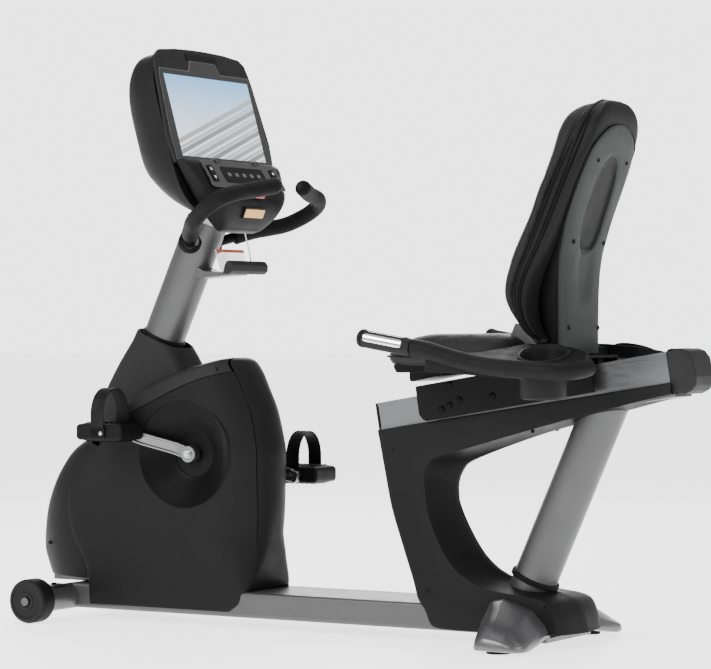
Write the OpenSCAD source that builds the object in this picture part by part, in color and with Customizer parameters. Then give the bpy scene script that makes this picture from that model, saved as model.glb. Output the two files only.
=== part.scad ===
// Recumbent exercise bike in millimetres: +X to the seat end, +Y to the rider's right, +Z up.
// The floor is Z = 0 and the mid-plane is Y = 0.

/* [Base] */
// Width of the base beam
beam_w = 206; // [196:1:206]
// Height of the beam's top face above the floor
beam_top = 85; // [83:1:87]
// Height of the beam's underside above the floor
beam_bottom = 25; // [24:1:32]
// Front end of the beam, where it saddles the stabilizer tube
beam_front = -745; // [-748:1:-735]
// Rear end of the beam
beam_rear = 540; // [530:1:545]
// Place of the front stabilizer tube along the bike
stabilizer_x = -750; // [-751:1:-749]
// Radius of the stabilizer tube
stabilizer_r = 31; // [28:1:31]
// Half length of the stabilizer tube
stabilizer_half = 220; // [215:1:221]
// Radius of the transport wheels
wheel_r = 52.5; // [50:0.5:53]
// Place of the rear foot pads along the bike
pad_x = 490; // [480:1:500]
// Distance of the foot pads from the mid-plane
pad_y = 224; // [210:1:230]

/* [Mast and strut] */
// Outer radius of the mast and of the rear strut
tube_r = 50; // [46:1:50]
// Wall of the round tubes
tube_wall = 3; // [2:0.5:4]
// Lean of the mast towards the rider
mast_lean = 24.3; // [24:0.1:24.6]
// Lean of the rear strut
strut_lean = 24; // [23:0.5:24.5]

/* [Seat rail] */
// Rise of the rail towards the rear
rail_angle = 9.6; // [9.4:0.1:9.8]
// Length of the rail extrusion
rail_len = 735; // [730:1:735]
// Width of the rail
rail_w = 90; // [86:1:90]
// Height of the rail
rail_h = 100; // [96:1:100]

/* [Drive] */
// Length of each crank arm
crank_len = 170; // [165:1:175]
// Height of the crank axis above the floor
crank_z = 403; // [400:1:406]
// Angle of the left crank arm above the horizontal at rest
crank_rest = 18.4; // [10:0.1:25]
// Belt radius of the crank pulley
pulley_r = 90; // [80:1:95]
// Belt radius of the generator pulley
rotor_pulley_r = 20; // [18:0.5:24]
// Radius of the generator's flywheel
flywheel_r = 85; // [70:1:85]

/* [Console] */
// Width of the screen
screen_w = 360; // [340:1:364]
// Height of the screen
screen_h = 202; // [190:1:204]
// Lean of the console away from the rider
console_lean = 16; // [15.5:0.1:16.5]

/* [Seat] */
// Half width of the seat cushion
cushion_half = 200; // [190:1:200]
// Distance of the hand grips from the mid-plane
grip_y = 300; // [296:1:302]
// Radius of the hand grips
grip_r = 20; // [18:0.5:20]
// Radius of the cup holder's inside
cup_r = 44; // [40:1:45]

/* [Hidden] */
crank_x = -412;
rotor_x = -545;
rotor_z = 215;
shell = 4;
shroud_half = 105;
mast_ref = [-497, 0, 770];
mast_top = 208;
mast_foot_z = 131;
strut_ref = [466, 0, 142];
rail_ref = [84, 0, 531];
lever_pivot = [300, 0, -20];
console_ref = [-390.6, 0, 1201.4];
key_face = [41, 0, -155];
key_tilt = 16.7;
grip_front = [185, 0, 683];
grip_slope = 9.4;
grip_len = 134;
cup_at = [606, 240, 0];
foam_r = 19;
bar_r = 12.5;
bar_dir = [0.56, 0.783, 0.272];
bar_socket = [-433, 45, 905];
pedal_gap = 130;
pedal_w = 94;
spindle_r = 7;
running = 0.05;

// Route of the right handlebar's centre line, from its socket to its end
bar_route = [[-425, 56, 909], [-400, 93, 921], [-367, 138, 937], [-319, 197, 952], [-275, 222, 975],
    [-240, 220, 997], [-216, 185, 1013], [-205, 130, 1022], [-190, 85, 1030], [-181, 58, 1035]];
// Route of the accessory cord, from the console's gland to its plug
cord_route = [[-321, 24, 930], [-320, 25, 920], [-318, 29, 905], [-317, 35, 888], [-318, 42, 871],
    [-321, 49, 857], [-322, 53, 848]];

// Side outline of the drive shroud, in X and Z
shroud_outline = [[-690, 37], [-276, 37], [-250, 50], [-241, 85], [-236, 97], [-225, 152], [-215, 240],
    [-207, 327], [-206, 393], [-215, 462], [-233, 523], [-264, 584], [-284, 614], [-300, 628], [-320, 631],
    [-374, 617], [-437, 599], [-480, 584], [-565, 541], [-652, 487], [-745, 436], [-771, 417], [-811, 370],
    [-844, 315], [-864, 264], [-875, 205], [-879, 164], [-861, 110], [-847, 88], [-815, 62]];
// Region of each side cover: front seam, trim line, rear seam
side_region = [[-683, 0], [-691, 112], [-713, 160], [-738, 213], [-749, 267], [-743, 312], [-724, 348],
    [-696, 384], [-655, 423], [-563, 498], [-480, 537], [-427, 560], [-374, 580], [-298, 600], [-272, 564],
    [-252, 508], [-240, 457], [-234, 405], [-234, 302], [-240, 180], [-230, 84], [-230, 0]];
front_region = [[-900, 0], [-684, 0], [-692, 112], [-714, 160], [-739, 213], [-750, 267], [-744, 312],
    [-725, 348], [-697, 384], [-656, 423], [-700, 475], [-900, 475]];
rear_region = [[-100, 86], [-229, 86], [-239, 180], [-233, 302], [-233, 405], [-239, 457], [-251, 508],
    [-271, 564], [-297, 600], [-100, 600]];
trim_region = [[-699, 476], [-655, 424], [-563, 499], [-480, 538], [-427, 561], [-374, 581], [-298, 601],
    [-100, 601], [-100, 700], [-699, 700]];
// Side outline of the leg cover: front edge, rail line, opening edge, rear end
leg_outline = [[84, 531], [91, 473], [108, 386], [131, 297], [164, 217], [201, 138], [222, 86], [238, 75],
    [266, 30], [578, 30], [582, 60], [574, 88], [560, 105], [530, 120], [400, 146], [375, 161], [339, 192],
    [311, 231], [286, 279], [271, 327], [273, 359], [288, 388], [316, 407], [384, 433], [451, 457],
    [518, 476], [560, 487], [625, 500], [710, 522], [800, 545], [817, 552], [806, 655]];
// Foot casting's section where it leaves the leg cover
foot_section = [[388, 14], [566, 14], [566, 30], [545, 62], [524, 83], [458, 98], [425, 93], [398, 60]];

// Backrest levels: height, front X, rear X, half width
back_levels = [[676, 524, 540, 112], [690, 512, 528, 134], [717, 497, 515, 150], [752, 481, 512, 160],
    [780, 475, 513, 165], [820, 483, 524, 165], [880, 505, 552, 163], [945, 531, 573, 156],
    [1010, 553, 595, 147], [1080, 576, 624, 129], [1140, 592, 650, 107], [1175, 604, 662, 84],
    [1195, 618, 660, 56], [1204, 632, 652, 26]];
// Spine cover levels: height, centre X, half depth, half width
spine_levels = [[648, 572, 15, 88], [720, 572, 15, 89], [800, 573, 14, 93], [861, 578, 14, 98],
    [905, 588, 14, 103], [950, 601, 13, 108], [1010, 624, 11, 111], [1060, 643, 10, 110],
    [1090, 652, 9, 98], [1114, 657, 8, 70], [1126, 658, 6, 34]];
// Console back levels: depth, centre height, half height, half width
console_levels = [[-138, -15, 45, 105], [-131, -19, 105, 150], [-110, -6, 150, 178], [-77, -11, 186, 198],
    [-40, -28, 202, 208], [-10.5, -36, 207, 210]];
// Console pod levels: height, centre depth, half depth, half width
pod_levels = [[-276, -6, 14, 84], [-262, 4, 24, 104], [-240, 16, 36, 134], [-200, 21, 34, 166],
    [-160, 14, 28, 188], [-118, 8, 20, 200], [-106, 4, 12, 202]];

// Signed power, for superellipse outlines
function spow(v, p) = sign(v) * pow(abs(v), p);
// Ring of n points on a superellipse, level at height z
function ring(cx, cy, z, a, b, e, n) =
    [for (i = [0 : n - 1]) let (t = 360 * i / n) [cx + a * spow(cos(t), e), cy + b * spow(sin(t), e), z]];
// Point on the smooth curve through the stations of a route
function curve_point(p0, p1, p2, p3, t) =
    0.5 * (2 * p1 + (p2 - p0) * t + (2 * p0 - 5 * p1 + 4 * p2 - p3) * t * t
    + (3 * p1 - p0 - 3 * p2 + p3) * t * t * t);
function smooth_route(p, steps) = let (m = len(p) - 1)
    [for (k = [0 : m - 1], j = [0 : steps - 1])
        curve_point(p[max(k - 1, 0)], p[k], p[k + 1], p[min(k + 2, m)], j / steps), p[m]];
function unit(v) = v / norm(v);
// Rings of a round tube along a route
function tube_rings(p, r, n, ref) = let (m = len(p) - 1)
    [for (k = [0 : m]) let (t = unit(p[min(k + 1, m)] - p[max(k - 1, 0)]), u = unit(cross(ref, t)),
        v = cross(t, u)) [for (i = [0 : n - 1]) p[k] + r * (u * cos(360 * i / n) + v * sin(360 * i / n))]];
function mirror_y(route) = [for (p = route) [p[0], -p[1], p[2]]];

// Closed skin over a stack of rings that run anticlockwise seen from the last ring
module loft(rings) {
    n = len(rings[0]);
    m = len(rings);
    sides = [for (j = [0 : m - 2], i = [0 : n - 1]) let (a = j * n + i, b = j * n + (i + 1) % n)
        each [[a, a + n, b + n], [a, b + n, b]]];
    first = [for (i = [0 : n - 1]) i];
    last = [for (i = [n - 1 : -1 : 0]) (m - 1) * n + i];
    polyhedron([for (r = rings) each r], concat([first], sides, [last]), convexity = 6);
}

// Extrudes an X-Z outline along Y, from y0 to y1
module side_extrude(y0, y1) {
    translate([0, y1, 0]) rotate([90, 0, 0]) linear_extrude(y1 - y0, convexity = 8) children();
}
module pair() {
    children();
    mirror([0, 1, 0]) children();
}
module on_mast() { translate(mast_ref) rotate([0, mast_lean, 0]) children(); }
module on_strut() { translate(strut_ref) rotate([0, strut_lean, 0]) children(); }
module on_rail() { translate(rail_ref) rotate([0, -rail_angle, 0]) children(); }
module on_console() { translate(console_ref) rotate([0, -console_lean, 0]) children(); }
module on_keys() { on_console() translate(key_face) rotate([0, -key_tilt, 0]) children(); }
// Turns +Z to the outward direction of the right handlebar's socket
module on_bar() {
    translate(bar_socket) rotate([0, 0, atan2(bar_dir[1], bar_dir[0])])
        rotate([0, acos(bar_dir[2] / norm(bar_dir)), 0]) children();
}
module on_grip() { translate(grip_front + [0, grip_y, 0]) rotate([0, 90 + grip_slope, 0]) children(); }
// Cylinder along Y at X-Z place (x, z), from y0 to y1
module y_rod(x, z, y0, y1, r) { translate([x, y1, z]) rotate([90, 0, 0]) cylinder(y1 - y0, r = r, $fn = 48); }
module rail_space(grow) {
    on_rail() translate([-30, -rail_w / 2 - grow, -rail_h - grow]) cube([rail_len + 60, rail_w + 2 * grow,
        rail_h + 30]);
}
module beam_space(grow) {
    translate([beam_front - 100, -beam_w / 2 - grow, 0]) cube([beam_rear + 130 - beam_front, beam_w + 2 * grow,
        beam_top + grow]);
}

// ---- Frame ----
module crank_post() {
    difference() {
        side_extrude(-40, 0) polygon([[-450, beam_top - 1], [-374, beam_top - 1], [-388, crank_z],
            [-436, crank_z]]);
        side_extrude(-36, -4) polygon([[-445, beam_top + 4], [-379, beam_top + 4], [-391, crank_z - 34],
            [-433, crank_z - 34]]);
        y_rod(crank_x, crank_z, -60, 20, 26);
    }
}
leg_post_side = [[250, 84], [320, 84], [240, 250], [214, 460], [140, 460], [165, 270]];
module leg_post() {
    difference() {
        side_extrude(-30, 30) polygon(leg_post_side);
        side_extrude(-26, 26) offset(delta = -4) polygon(leg_post_side);
        rail_space(0);
    }
}
module base_frame() {
    color("#8a8a8c") {
        difference() {
            translate([beam_front, -beam_w / 2, beam_bottom])
                cube([beam_rear - beam_front, beam_w, beam_top - beam_bottom]);
            translate([beam_front + 40, 3 - beam_w / 2, beam_bottom + 3])
                cube([beam_rear - beam_front - 46, beam_w - 6, beam_top - beam_bottom - 6]);
            y_rod(stabilizer_x, wheel_r, -120, 120, stabilizer_r);
            translate([beam_front - 10, -120, 0]) cube([30, 240, wheel_r]);
        }
        translate([-836, -45, beam_top - 0.5]) cube([136, 90, mast_foot_z - beam_top + 0.5]);
        crank_post();
        leg_post();
    }
}
module front_stabilizer() {
    color("#7d7d80") {
        difference() {
            y_rod(stabilizer_x, wheel_r, -stabilizer_half, stabilizer_half, stabilizer_r);
            y_rod(stabilizer_x, wheel_r, 14 - stabilizer_half, stabilizer_half - 14, stabilizer_r - 3.5);
        }
        pair() y_rod(stabilizer_x, wheel_r, stabilizer_half - 2, stabilizer_half + 54, 6);
        pair() y_rod(stabilizer_x, wheel_r, stabilizer_half + 52, stabilizer_half + 56, 10);
    }
}
module foot_wing() {
    widths = [[104, 0, 1, 0], [150, 6, 0.92, 0], [235, 30, 0.66, 0], [268, 44, 0.4, 4]];
    loft([for (w = widths) [for (i = [len(foot_section) - 1 : -1 : 0]) let (p = foot_section[i])
        [477 + (p[0] - 477) * (1 - w[1] / 130) + w[1] * 0.55, w[0], 8 + w[3] + (p[1] - 14) * w[2]
        + (p[1] < 20 ? (268 - w[0]) / 30 : 0)]]]);
}
module rear_foot() {
    color("#9a9a9c") {
        difference() {
            pair() foot_wing();
            pair() translate([pad_x, pad_y, -1]) cylinder(14, r = 10.02, $fn = 48);
        }
        translate([400, -110, 13]) cube([150, 220, beam_bottom - 13]);
    }
}
module foot_pads() {
    color("#1c1c1c") pair() translate([pad_x, pad_y, 0]) {
        cylinder(7, r = 27, $fn = 64);
        cylinder(13, r = 10, $fn = 48);
    }
}
module rear_strut() {
    color("#8a8a8c") difference() {
        on_strut() translate([0, 0, -90]) difference() {
            cylinder(560, r = tube_r, $fn = 96);
            translate([0, 0, -1]) cylinder(562, r = tube_r - tube_wall, $fn = 96);
        }
        translate([300, -100, beam_top - 200]) cube([400, 200, 200]);
        on_rail() translate([0, -100, -rail_h]) cube([rail_len, 200, 200]);
    }
}
module collar(r_in, r_out, length) {
    difference() {
        cylinder(length, r = r_out, $fn = 96);
        translate([0, 0, -1]) cylinder(length + 2, r = r_in, $fn = 96);
    }
}
module tube_collars() {
    color("#151515") {
        on_mast() translate([0, 0, -104]) collar(tube_r, tube_r + 3.5, 12);
        on_strut() translate([0, 0, -4]) collar(tube_r, tube_r + 6, 16);
        pair() difference() {
            on_bar() translate([0, 0, 3]) collar(21, 28, 14);
            on_mast() translate([0, 0, -100]) cylinder(400, r = tube_r, $fn = 96);
        }
    }
}
module seat_rail() {
    color("#c4c6c8") on_rail() difference() {
        translate([0, -rail_w / 2, -rail_h]) cube([rail_len, rail_w, rail_h]);
        translate([-1, -rail_w / 2 + 5, 6 - rail_h]) cube([rail_len + 2, rail_w - 10, rail_h - 12]);
        translate([20, -8, -7]) cube([rail_len - 40, 16, 8]);
        pair() translate([-1, rail_w / 2 - 2, -56]) cube([rail_len + 2, 3, 48]);
    }
}
module rail_caps() {
    color("#2c2c2c") on_rail() {
        translate([-7, -rail_w / 2, 1 - rail_h]) cube([6.9, rail_w, rail_h]);
        side_extrude(-50, 50) polygon([[rail_len + 0.1, 4], [rail_len + 12, 5], [rail_len + 12, -94],
            [rail_len + 0.1, -90]]);
        difference() {
            side_extrude(-52, 52) polygon([[rail_len + 12, 4], [rail_len + 33, 1], [rail_len + 47, -8],
                [rail_len + 57, -48], [rail_len + 57.5, -66], [rail_len + 44, -92], [rail_len + 25, -98],
                [rail_len + 12, -94]]);
            pair() translate([rail_len + 30, 66, -120]) rotate([0, 0, -35]) cube([60, 40, 160], center = false);
        }
    }
}
// Solid of the leg cover's outside, shrunk by inset
module leg_body(inset) {
    intersection() {
        side_extrude(-140, 140) offset(delta = -inset) polygon(leg_outline);
        rotate([90, 0, 90]) linear_extrude(900) polygon([[-108 + inset, 20], [108 - inset, 20],
            [108 - inset, 90], [66 - inset, 480], [66 - inset, 700], [-66 + inset, 700], [-66 + inset, 480],
            [-108 + inset, 90]]);
        linear_extrude(700) polygon([[60, -110], [480, -110], [540, -96], [575, -62 + inset],
            [583 - inset, -20], [900, -20], [900, 20], [583 - inset, 20], [575, 62 - inset], [540, 96],
            [480, 110], [60, 110]]);
    }
}
// Solid of the rail skirt that runs back under the rail
module rail_skirt(inset) {
    on_rail() side_extrude(-62 + inset, 62 - inset) polygon([[300, -64 + inset], [733, -64 + inset],
        [733, -92], [625, -112 + inset], [462, -123 + inset], [300, -146 + inset]]);
}
module leg_half() {
    difference() {
        union() {
            leg_body(0);
            rail_skirt(0);
        }
        leg_body(shell);
        rail_skirt(shell);
        beam_space(0.5);
        rail_space(0.5);
        on_rail() translate([-60, -150, -64]) cube([900, 300, 200]);
        on_strut() translate([0, 0, -90]) cylinder(560, r = tube_r + 6.5, $fn = 96);
        side_extrude(-150, 150) polygon([[380, 0], [392, 62], [420, 98], [460, 103], [528, 88], [550, 66],
            [571, 32], [572, 0]]);
        translate([0, -0.3, 0]) cube([900, 300, 700]);
    }
}
module leg_covers() { color("#363636") pair() leg_half(); }

// ---- Mast and its cover ----
module mast() {
    color("#8a8a8c") difference() {
        union() {
            on_mast() translate([0, 0, -740]) cylinder(740 + mast_top, r = tube_r, $fn = 96);
            pair() on_bar() translate([0, 0, -22]) cylinder(30, r = 21, $fn = 48);
        }
        on_mast() translate([0, 0, -741]) cylinder(740 + mast_top - 3, r = tube_r - tube_wall, $fn = 96);
        pair() on_bar() translate([0, 0, -24]) cylinder(40, r = bar_r, $fn = 48);
        translate([-1100, -100, mast_foot_z - 400]) cube([500, 200, 400]);
    }
}
module base_cover_body(inset) {
    levels = [[440, -530, 220, 66], [560, -534, 144, 66], [640, -543, 86, 64], [705, -524, 62, 58]];
    loft([for (v = levels) ring(v[1], 0, v[0], v[2] - inset, v[3] - inset, 0.45, 40)]);
}
module mast_base_cover() {
    color("#434343") difference() {
        base_cover_body(0);
        base_cover_body(3);
        side_extrude(-90, 90) polygon(concat(shroud_outline, [[-745, 200], [-690, 37]]));
        on_mast() translate([0, 0, -400]) cylinder(500, r = tube_r + 4.5, $fn = 96);
        translate([-592, -100, 690]) rotate([0, 16.2, 0]) translate([-100, 0, 0]) cube([400, 200, 200]);
    }
}

// ---- Drive shroud ----
// Plan outline: round nose, flat sides, round tail
function shroud_plan(inset) = [
    for (a = [90 : 9 : 270]) [-765 + (114 - inset) * cos(a), (shroud_half - inset) * sin(a)],
    for (a = [-90 : 9 : 90]) [-332 + (126 - inset) * cos(a), (shroud_half - inset) * sin(a)]];
module shroud_solid(inset) {
    intersection() {
        side_extrude(-120, 120) offset(delta = -inset) polygon(shroud_outline);
        linear_extrude(700) polygon(shroud_plan(inset));
    }
}
module skirt_solid(inset) {
    translate([-690, -shroud_half + inset, 37]) cube([449, 2 * (shroud_half - inset), 50]);
}
// Screws of the drive covers: X, Z and how far out the head stands
screws = [[-308, 613, 103], [-255, 111, 83], [-816, 178, 94]];
module shroud_shell() {
    difference() {
        union() {
            shroud_solid(0);
            skirt_solid(0);
        }
        shroud_solid(shell);
        translate([-760, 0.5 - shroud_half, 0]) cube([700, 2 * shroud_half - 1, beam_top + 1]);
        skirt_solid(1.5);
        on_mast() translate([0, 0, -740]) cylinder(740, r = tube_r + 3, $fn = 96);
        y_rod(stabilizer_x, wheel_r, -150, 150, stabilizer_r + 3);
        translate([-790, -120, 0]) cube([80, 240, wheel_r]);
        pair() for (s = screws) {
            y_rod(s[0], s[1], 60, 120, 4);
        }
    }
}
dish_rim = 125;
dish_hub = 54;
dish_depth = 47;
module dish(grow) {
    rotate([90, 0, 0]) cylinder(dish_depth, r1 = dish_hub + grow, r2 = dish_rim + grow, $fn = 96);
}
module side_half() {
    difference() {
        union() {
            intersection() {
                shroud_shell();
                side_extrude(-130, -8) polygon(side_region);
            }
            intersection() {
                translate([crank_x, dish_depth - shroud_half, crank_z]) dish(3.5);
                side_extrude(-shroud_half, dish_depth - shroud_half) polygon(side_region);
            }
        }
        translate([crank_x, dish_depth - shroud_half - 0.01, crank_z]) dish(0);
        y_rod(crank_x, crank_z, -140, -40, dish_hub);
    }
}
module side_cover_left() { color("#343434") side_half(); }
module side_cover_right() { color("#343434") mirror([0, 1, 0]) side_half(); }
module front_cover() {
    color("#333333") difference() {
        intersection() {
            shroud_shell();
            side_extrude(-130, 130) polygon(front_region);
        }
        translate([-837, -46, beam_top - 1]) cube([138, 92, mast_foot_z - beam_top + 2]);
    }
}
module rear_cover() {
    color("#353535") difference() {
        intersection() {
            shroud_shell();
            side_extrude(-130, 130) polygon(rear_region);
        }
        translate([-300, -90, 60]) cube([120, 180, 38]);
    }
}
module top_trim() {
    color("#464646") intersection() {
        shroud_shell();
        side_extrude(-130, 130) polygon(trim_region);
    }
}
module hub_covers() {
    color("#303030") pair() difference() {
        y_rod(crank_x, crank_z, 55, 58, dish_hub);
        y_rod(crank_x, crank_z, 50, 62, 13);
    }
}
module cover_screws() {
    color("#101010") pair() for (s = screws) {
        y_rod(s[0], s[1], s[2] - 8, s[2], 3.95);
    }
}

// ---- Drive ----
module crank_housing() {
    color("#6e6e70") difference() {
        y_rod(crank_x, crank_z, -44, 6, 26);
        y_rod(crank_x, crank_z, -45, 7, 20);
    }
}
module crank_bearings() {
    color("#b9bcc0") for (y = [-43, -6]) {
        difference() {
            y_rod(crank_x, crank_z, y, y + 11, 20);
            y_rod(crank_x, crank_z, y - 1, y + 12, 10 + running);
        }
    }
}
module generator_axle() {
    color("#77797c") {
        y_rod(rotor_x, rotor_z, -60, 44, 8);
        side_extrude(-60, -52) polygon([[-600, beam_top], [-490, beam_top], [-527, rotor_z + 18],
            [-563, rotor_z + 18]]);
    }
}
module flywheel_rotor() {
    color("#8f9194") difference() {
        union() {
            y_rod(rotor_x, rotor_z, -44, -4, flywheel_r);
            y_rod(rotor_x, rotor_z, -6, 36, rotor_pulley_r);
        }
        y_rod(rotor_x, rotor_z, -46, 40, 8 + running);
        for (a = [30 : 60 : 330]) {
            y_rod(rotor_x + 55 * cos(a), rotor_z + 55 * sin(a), -46, 0, 16);
        }
    }
}
module belt_outline(grow) {
    hull() {
        translate([crank_x, crank_z]) circle(pulley_r + grow, $fn = 64);
        translate([rotor_x, rotor_z]) circle(rotor_pulley_r + grow, $fn = 32);
    }
}
module drive_belt() {
    color("#141414") side_extrude(16, 32) difference() {
        belt_outline(3.4);
        belt_outline(0.4);
    }
}
module crank_axle() { color("#a9abae") y_rod(crank_x, crank_z, -84, 84, 10); }
module drive_pulley() {
    color("#26282b") difference() {
        y_rod(crank_x, crank_z, 14, 34, pulley_r);
        y_rod(crank_x, crank_z, 13, 35, 10);
        for (a = [0 : 72 : 288]) {
            y_rod(crank_x + 55 * cos(a), crank_z + 55 * sin(a), 13, 35, 22);
        }
    }
}
// Right crank arm along +X from the axle, in the axle's own frame
module crank_arm() {
    difference() {
        union() {
            rotate([-90, 0, 0]) translate([0, 0, 62]) cylinder(24, r = 20, $fn = 48);
            translate([crank_len, 109, 0]) rotate([-90, 0, 0]) cylinder(16, r = 16, $fn = 48);
            translate([0, 0, -13]) linear_extrude(26) polygon([[0, 66], [40, 66], [116, 109],
                [crank_len, 109], [crank_len, 125], [110, 125], [34, 84], [0, 84]]);
        }
        rotate([-90, 0, 0]) translate([0, 0, 61]) cylinder(26, r = 10, $fn = 48);
        translate([crank_len, 108, 0]) rotate([-90, 0, 0]) cylinder(18, r = spindle_r, $fn = 48);
    }
}
module on_right_crank() { translate([crank_x, 0, crank_z]) rotate([0, crank_rest, 0]) children(); }
module on_left_crank() {
    translate([crank_x, 0, crank_z]) rotate([0, crank_rest, 0]) mirror([1, 0, 0]) mirror([0, 1, 0]) children();
}
module crank_arms() {
    color("#aeb0b3") {
        on_right_crank() crank_arm();
        on_left_crank() crank_arm();
    }
}
module crank_bolt() {
    translate([0, 84, 0]) rotate([-90, 0, 0]) cylinder(6, r = 9.5, $fn = 48);
    translate([0, 90, 0]) rotate([-90, 0, 0]) cylinder(4, r = 6.5, $fn = 6);
}
module crank_bolts() {
    color("#c0c2c5") {
        on_right_crank() crank_bolt();
        on_left_crank() crank_bolt();
    }
}
module pedal_spindle() {
    translate([crank_len, 108, 0]) rotate([-90, 0, 0]) cylinder(106, r = spindle_r, $fn = 48);
}
module pedal_spindles() {
    color("#b4b6b8") {
        on_right_crank() pedal_spindle();
        on_left_crank() pedal_spindle();
    }
}
pedal_dx = crank_len * cos(crank_rest);
pedal_dz = crank_len * sin(crank_rest);
// Right pedal with its spindle axis on the Y axis
module pedal_body() {
    difference() {
        hull() {
            for (x = [-48, 48]) {
                translate([x, pedal_gap + pedal_w / 2, 0]) intersection() {
                    cylinder(46, r = 17, center = true, $fn = 32);
                    cube([40, pedal_w, 46], center = true);
                }
                translate([x, pedal_gap + 14, -23]) cylinder(46, r = 14, $fn = 32);
                translate([x, pedal_gap + pedal_w - 14, -23]) cylinder(46, r = 14, $fn = 32);
            }
        }
        y_rod(0, 0, pedal_gap - 1, pedal_gap + pedal_w - 6, spindle_r + running);
    }
}
// Toe strap: a band arched over the pedal, from its inner side to its outer side
function strap_arch(w, h) = concat([[w, 9]], [for (a = [0 : 10 : 180]) [w * cos(a), 42 + h * sin(a)]],
    [[-w, 9]]);
module strap_body() {
    translate([-18, pedal_gap + pedal_w / 2, 0]) rotate([90, 0, 90]) linear_extrude(36) difference() {
        polygon(strap_arch(pedal_w / 2 + 3, 60));
        polygon(concat([[pedal_w / 2, 8]], strap_arch(pedal_w / 2, 57), [[-pedal_w / 2, 8]]));
    }
}
module at_right_pedal() { translate([crank_x + pedal_dx, 0, crank_z - pedal_dz]) children(); }
module at_left_pedal() { translate([crank_x - pedal_dx, 0, crank_z + pedal_dz]) mirror([0, 1, 0]) children(); }
module pedal_left() { color("#191919") at_left_pedal() pedal_body(); }
module pedal_right() { color("#191919") at_right_pedal() pedal_body(); }
module toe_strap_left() { color("#1c1c1c") at_left_pedal() strap_body(); }
module toe_strap_right() { color("#1c1c1c") at_right_pedal() strap_body(); }

// ---- Transport wheels ----
module wheel() {
    difference() {
        translate([stabilizer_x, stabilizer_half + 1, wheel_r]) rotate([-90, 0, 0])
            rotate_extrude($fn = 96) polygon([[6 + running, 0], [wheel_r - 5, 0], [wheel_r, 6], [wheel_r, 44],
                [wheel_r - 7, 51], [16, 50], [6 + running, 50]]);
    }
}
module wheel_left() { color("#2a2a2b") mirror([0, 1, 0]) wheel(); }
module wheel_right() { color("#2a2a2b") wheel(); }

// ---- Console ----
module console_keys_pocket() {
    on_keys() {
        translate([-3, -161, -41]) cube([80, 322, 82]);
        for (y = [-135, 135]) {
            translate([-9, y - 13, -27]) cube([20, 26, 54]);
        }
        translate([-9, -37, -66]) cube([80, 74, 24]);
    }
}
module console_shell() {
    color("#3a3a3a") difference() {
        on_console() union() {
            rotate([90, 0, 90]) loft([for (v = console_levels) ring(0, v[1], v[0], v[3], v[2], 0.5, 48)]);
            difference() {
                loft([for (v = pod_levels) ring(v[1], 0, v[0], v[2], v[3], 0.6, 40)]);
                translate([-20.5, -250, -118]) cube([20.7, 500, 60]);
            }
            translate([-8, 24, -282]) cylinder(10, r = 4, $fn = 32);
        }
        on_console() translate([-100, -150, -190]) cube([84, 300, 310]);
        on_console() translate([-10.4, -250, -117]) cube([60, 500, 320]);
        on_mast() translate([0, 0, -100]) cylinder(100 + mast_top + 0.3, r = tube_r + 0.3, $fn = 96);
        console_keys_pocket();
        on_console() translate([-8, 24, -283]) cylinder(12, r = 2.2, $fn = 24);
    }
}
// Front outline of the console, half of it, in Y and height
face_half = [[0, 172], [100, 170], [171, 163], [193, 149], [200, 120], [209, 20], [215, -60], [212, -116],
    [0, -116]];
module console_face() {
    color("#3c3c3c") on_console() difference() {
        translate([-10, 0, 0]) rotate([90, 0, 90]) linear_extrude(10) polygon(concat(face_half,
            [for (i = [len(face_half) - 1 : -1 : 0]) [-face_half[i][0], face_half[i][1]]]));
        translate([-4, -screen_w / 2, -screen_h / 2]) cube([5, screen_w, screen_h]);
        for (z = [143, 149, 155]) {
            translate([-6, -66, z]) cube([10, 132, 3.4]);
        }
    }
}
module screen() {
    color("#9db4c8") on_console() translate([-4, -screen_w / 2, -screen_h / 2]) cube([3, screen_w, screen_h]);
}
module keypad_panel() {
    color("#2b2b2d") on_keys() difference() {
        translate([-3, -160, -40]) cube([3, 320, 80]);
        for (y = [-135, 135]) {
            translate([-5, y - 12, -24]) cube([10, 24, 48]);
        }
    }
}
module rocker_key(y) {
    on_keys() {
        translate([-5, y - 11, -23]) cube([6.5, 22, 46]);
        y_rod(-3, 0, y - 11.9, y + 11.9, 1.5);
    }
}
module volume_key() { color("#d8d8d8") rocker_key(-135); }
module channel_key() { color("#d8d8d8") rocker_key(135); }
module stop_button() { color("#a8342c") on_keys() translate([-6, -36, -65]) cube([9, 72, 22]); }

// ---- Handlebars, tray and cord ----
module bar_pair(r, from_station) {
    stations = [for (i = [from_station : len(bar_route) - 1]) bar_route[i]];
    loft(tube_rings(smooth_route(stations, 4), r, 20, [0, 0, 1]));
    loft(tube_rings(smooth_route(mirror_y(stations), 4), r, 20, [0, 0, 1]));
}
module handlebar_tubes() {
    color("#3b3b3d") {
        bar_pair(bar_r - 0.15, 0);
        pair() on_bar() translate([0, 0, -18]) cylinder(32, r = bar_r - 0.15, $fn = 48);
    }
}
module foam_grips() {
    color("#161616") difference() {
        bar_pair(foam_r, 1);
        bar_pair(bar_r, 0);
    }
}
module accessory_tray() {
    color("#3a3a3c") {
        difference() {
            side_extrude(-34, 34) polygon([[-470, 818], [-316, 828], [-316, 834], [-400, 838], [-470, 868]]);
            side_extrude(-30, 30) polygon([[-480, 824], [-398, 832], [-410, 840], [-480, 900]]);
            on_mast() translate([0, 0, -100]) cylinder(400, r = tube_r, $fn = 96);
        }
        side_extrude(-78, 78) polygon([[-318, 830], [-300, 830], [-291, 837], [-290, 851], [-298, 861],
            [-306, 861], [-313, 850], [-317, 835]]);
    }
}
module tray_window() {
    color("#b9c3c8") side_extrude(-60, 60) polygon([[-336, 835], [-333.4, 835], [-350, 889], [-352.5, 888]]);
}
module charge_cord() { color("#e8e8e8") loft(tube_rings(smooth_route(cord_route, 3), 1.5, 8, [1, 0, 0])); }
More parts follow.
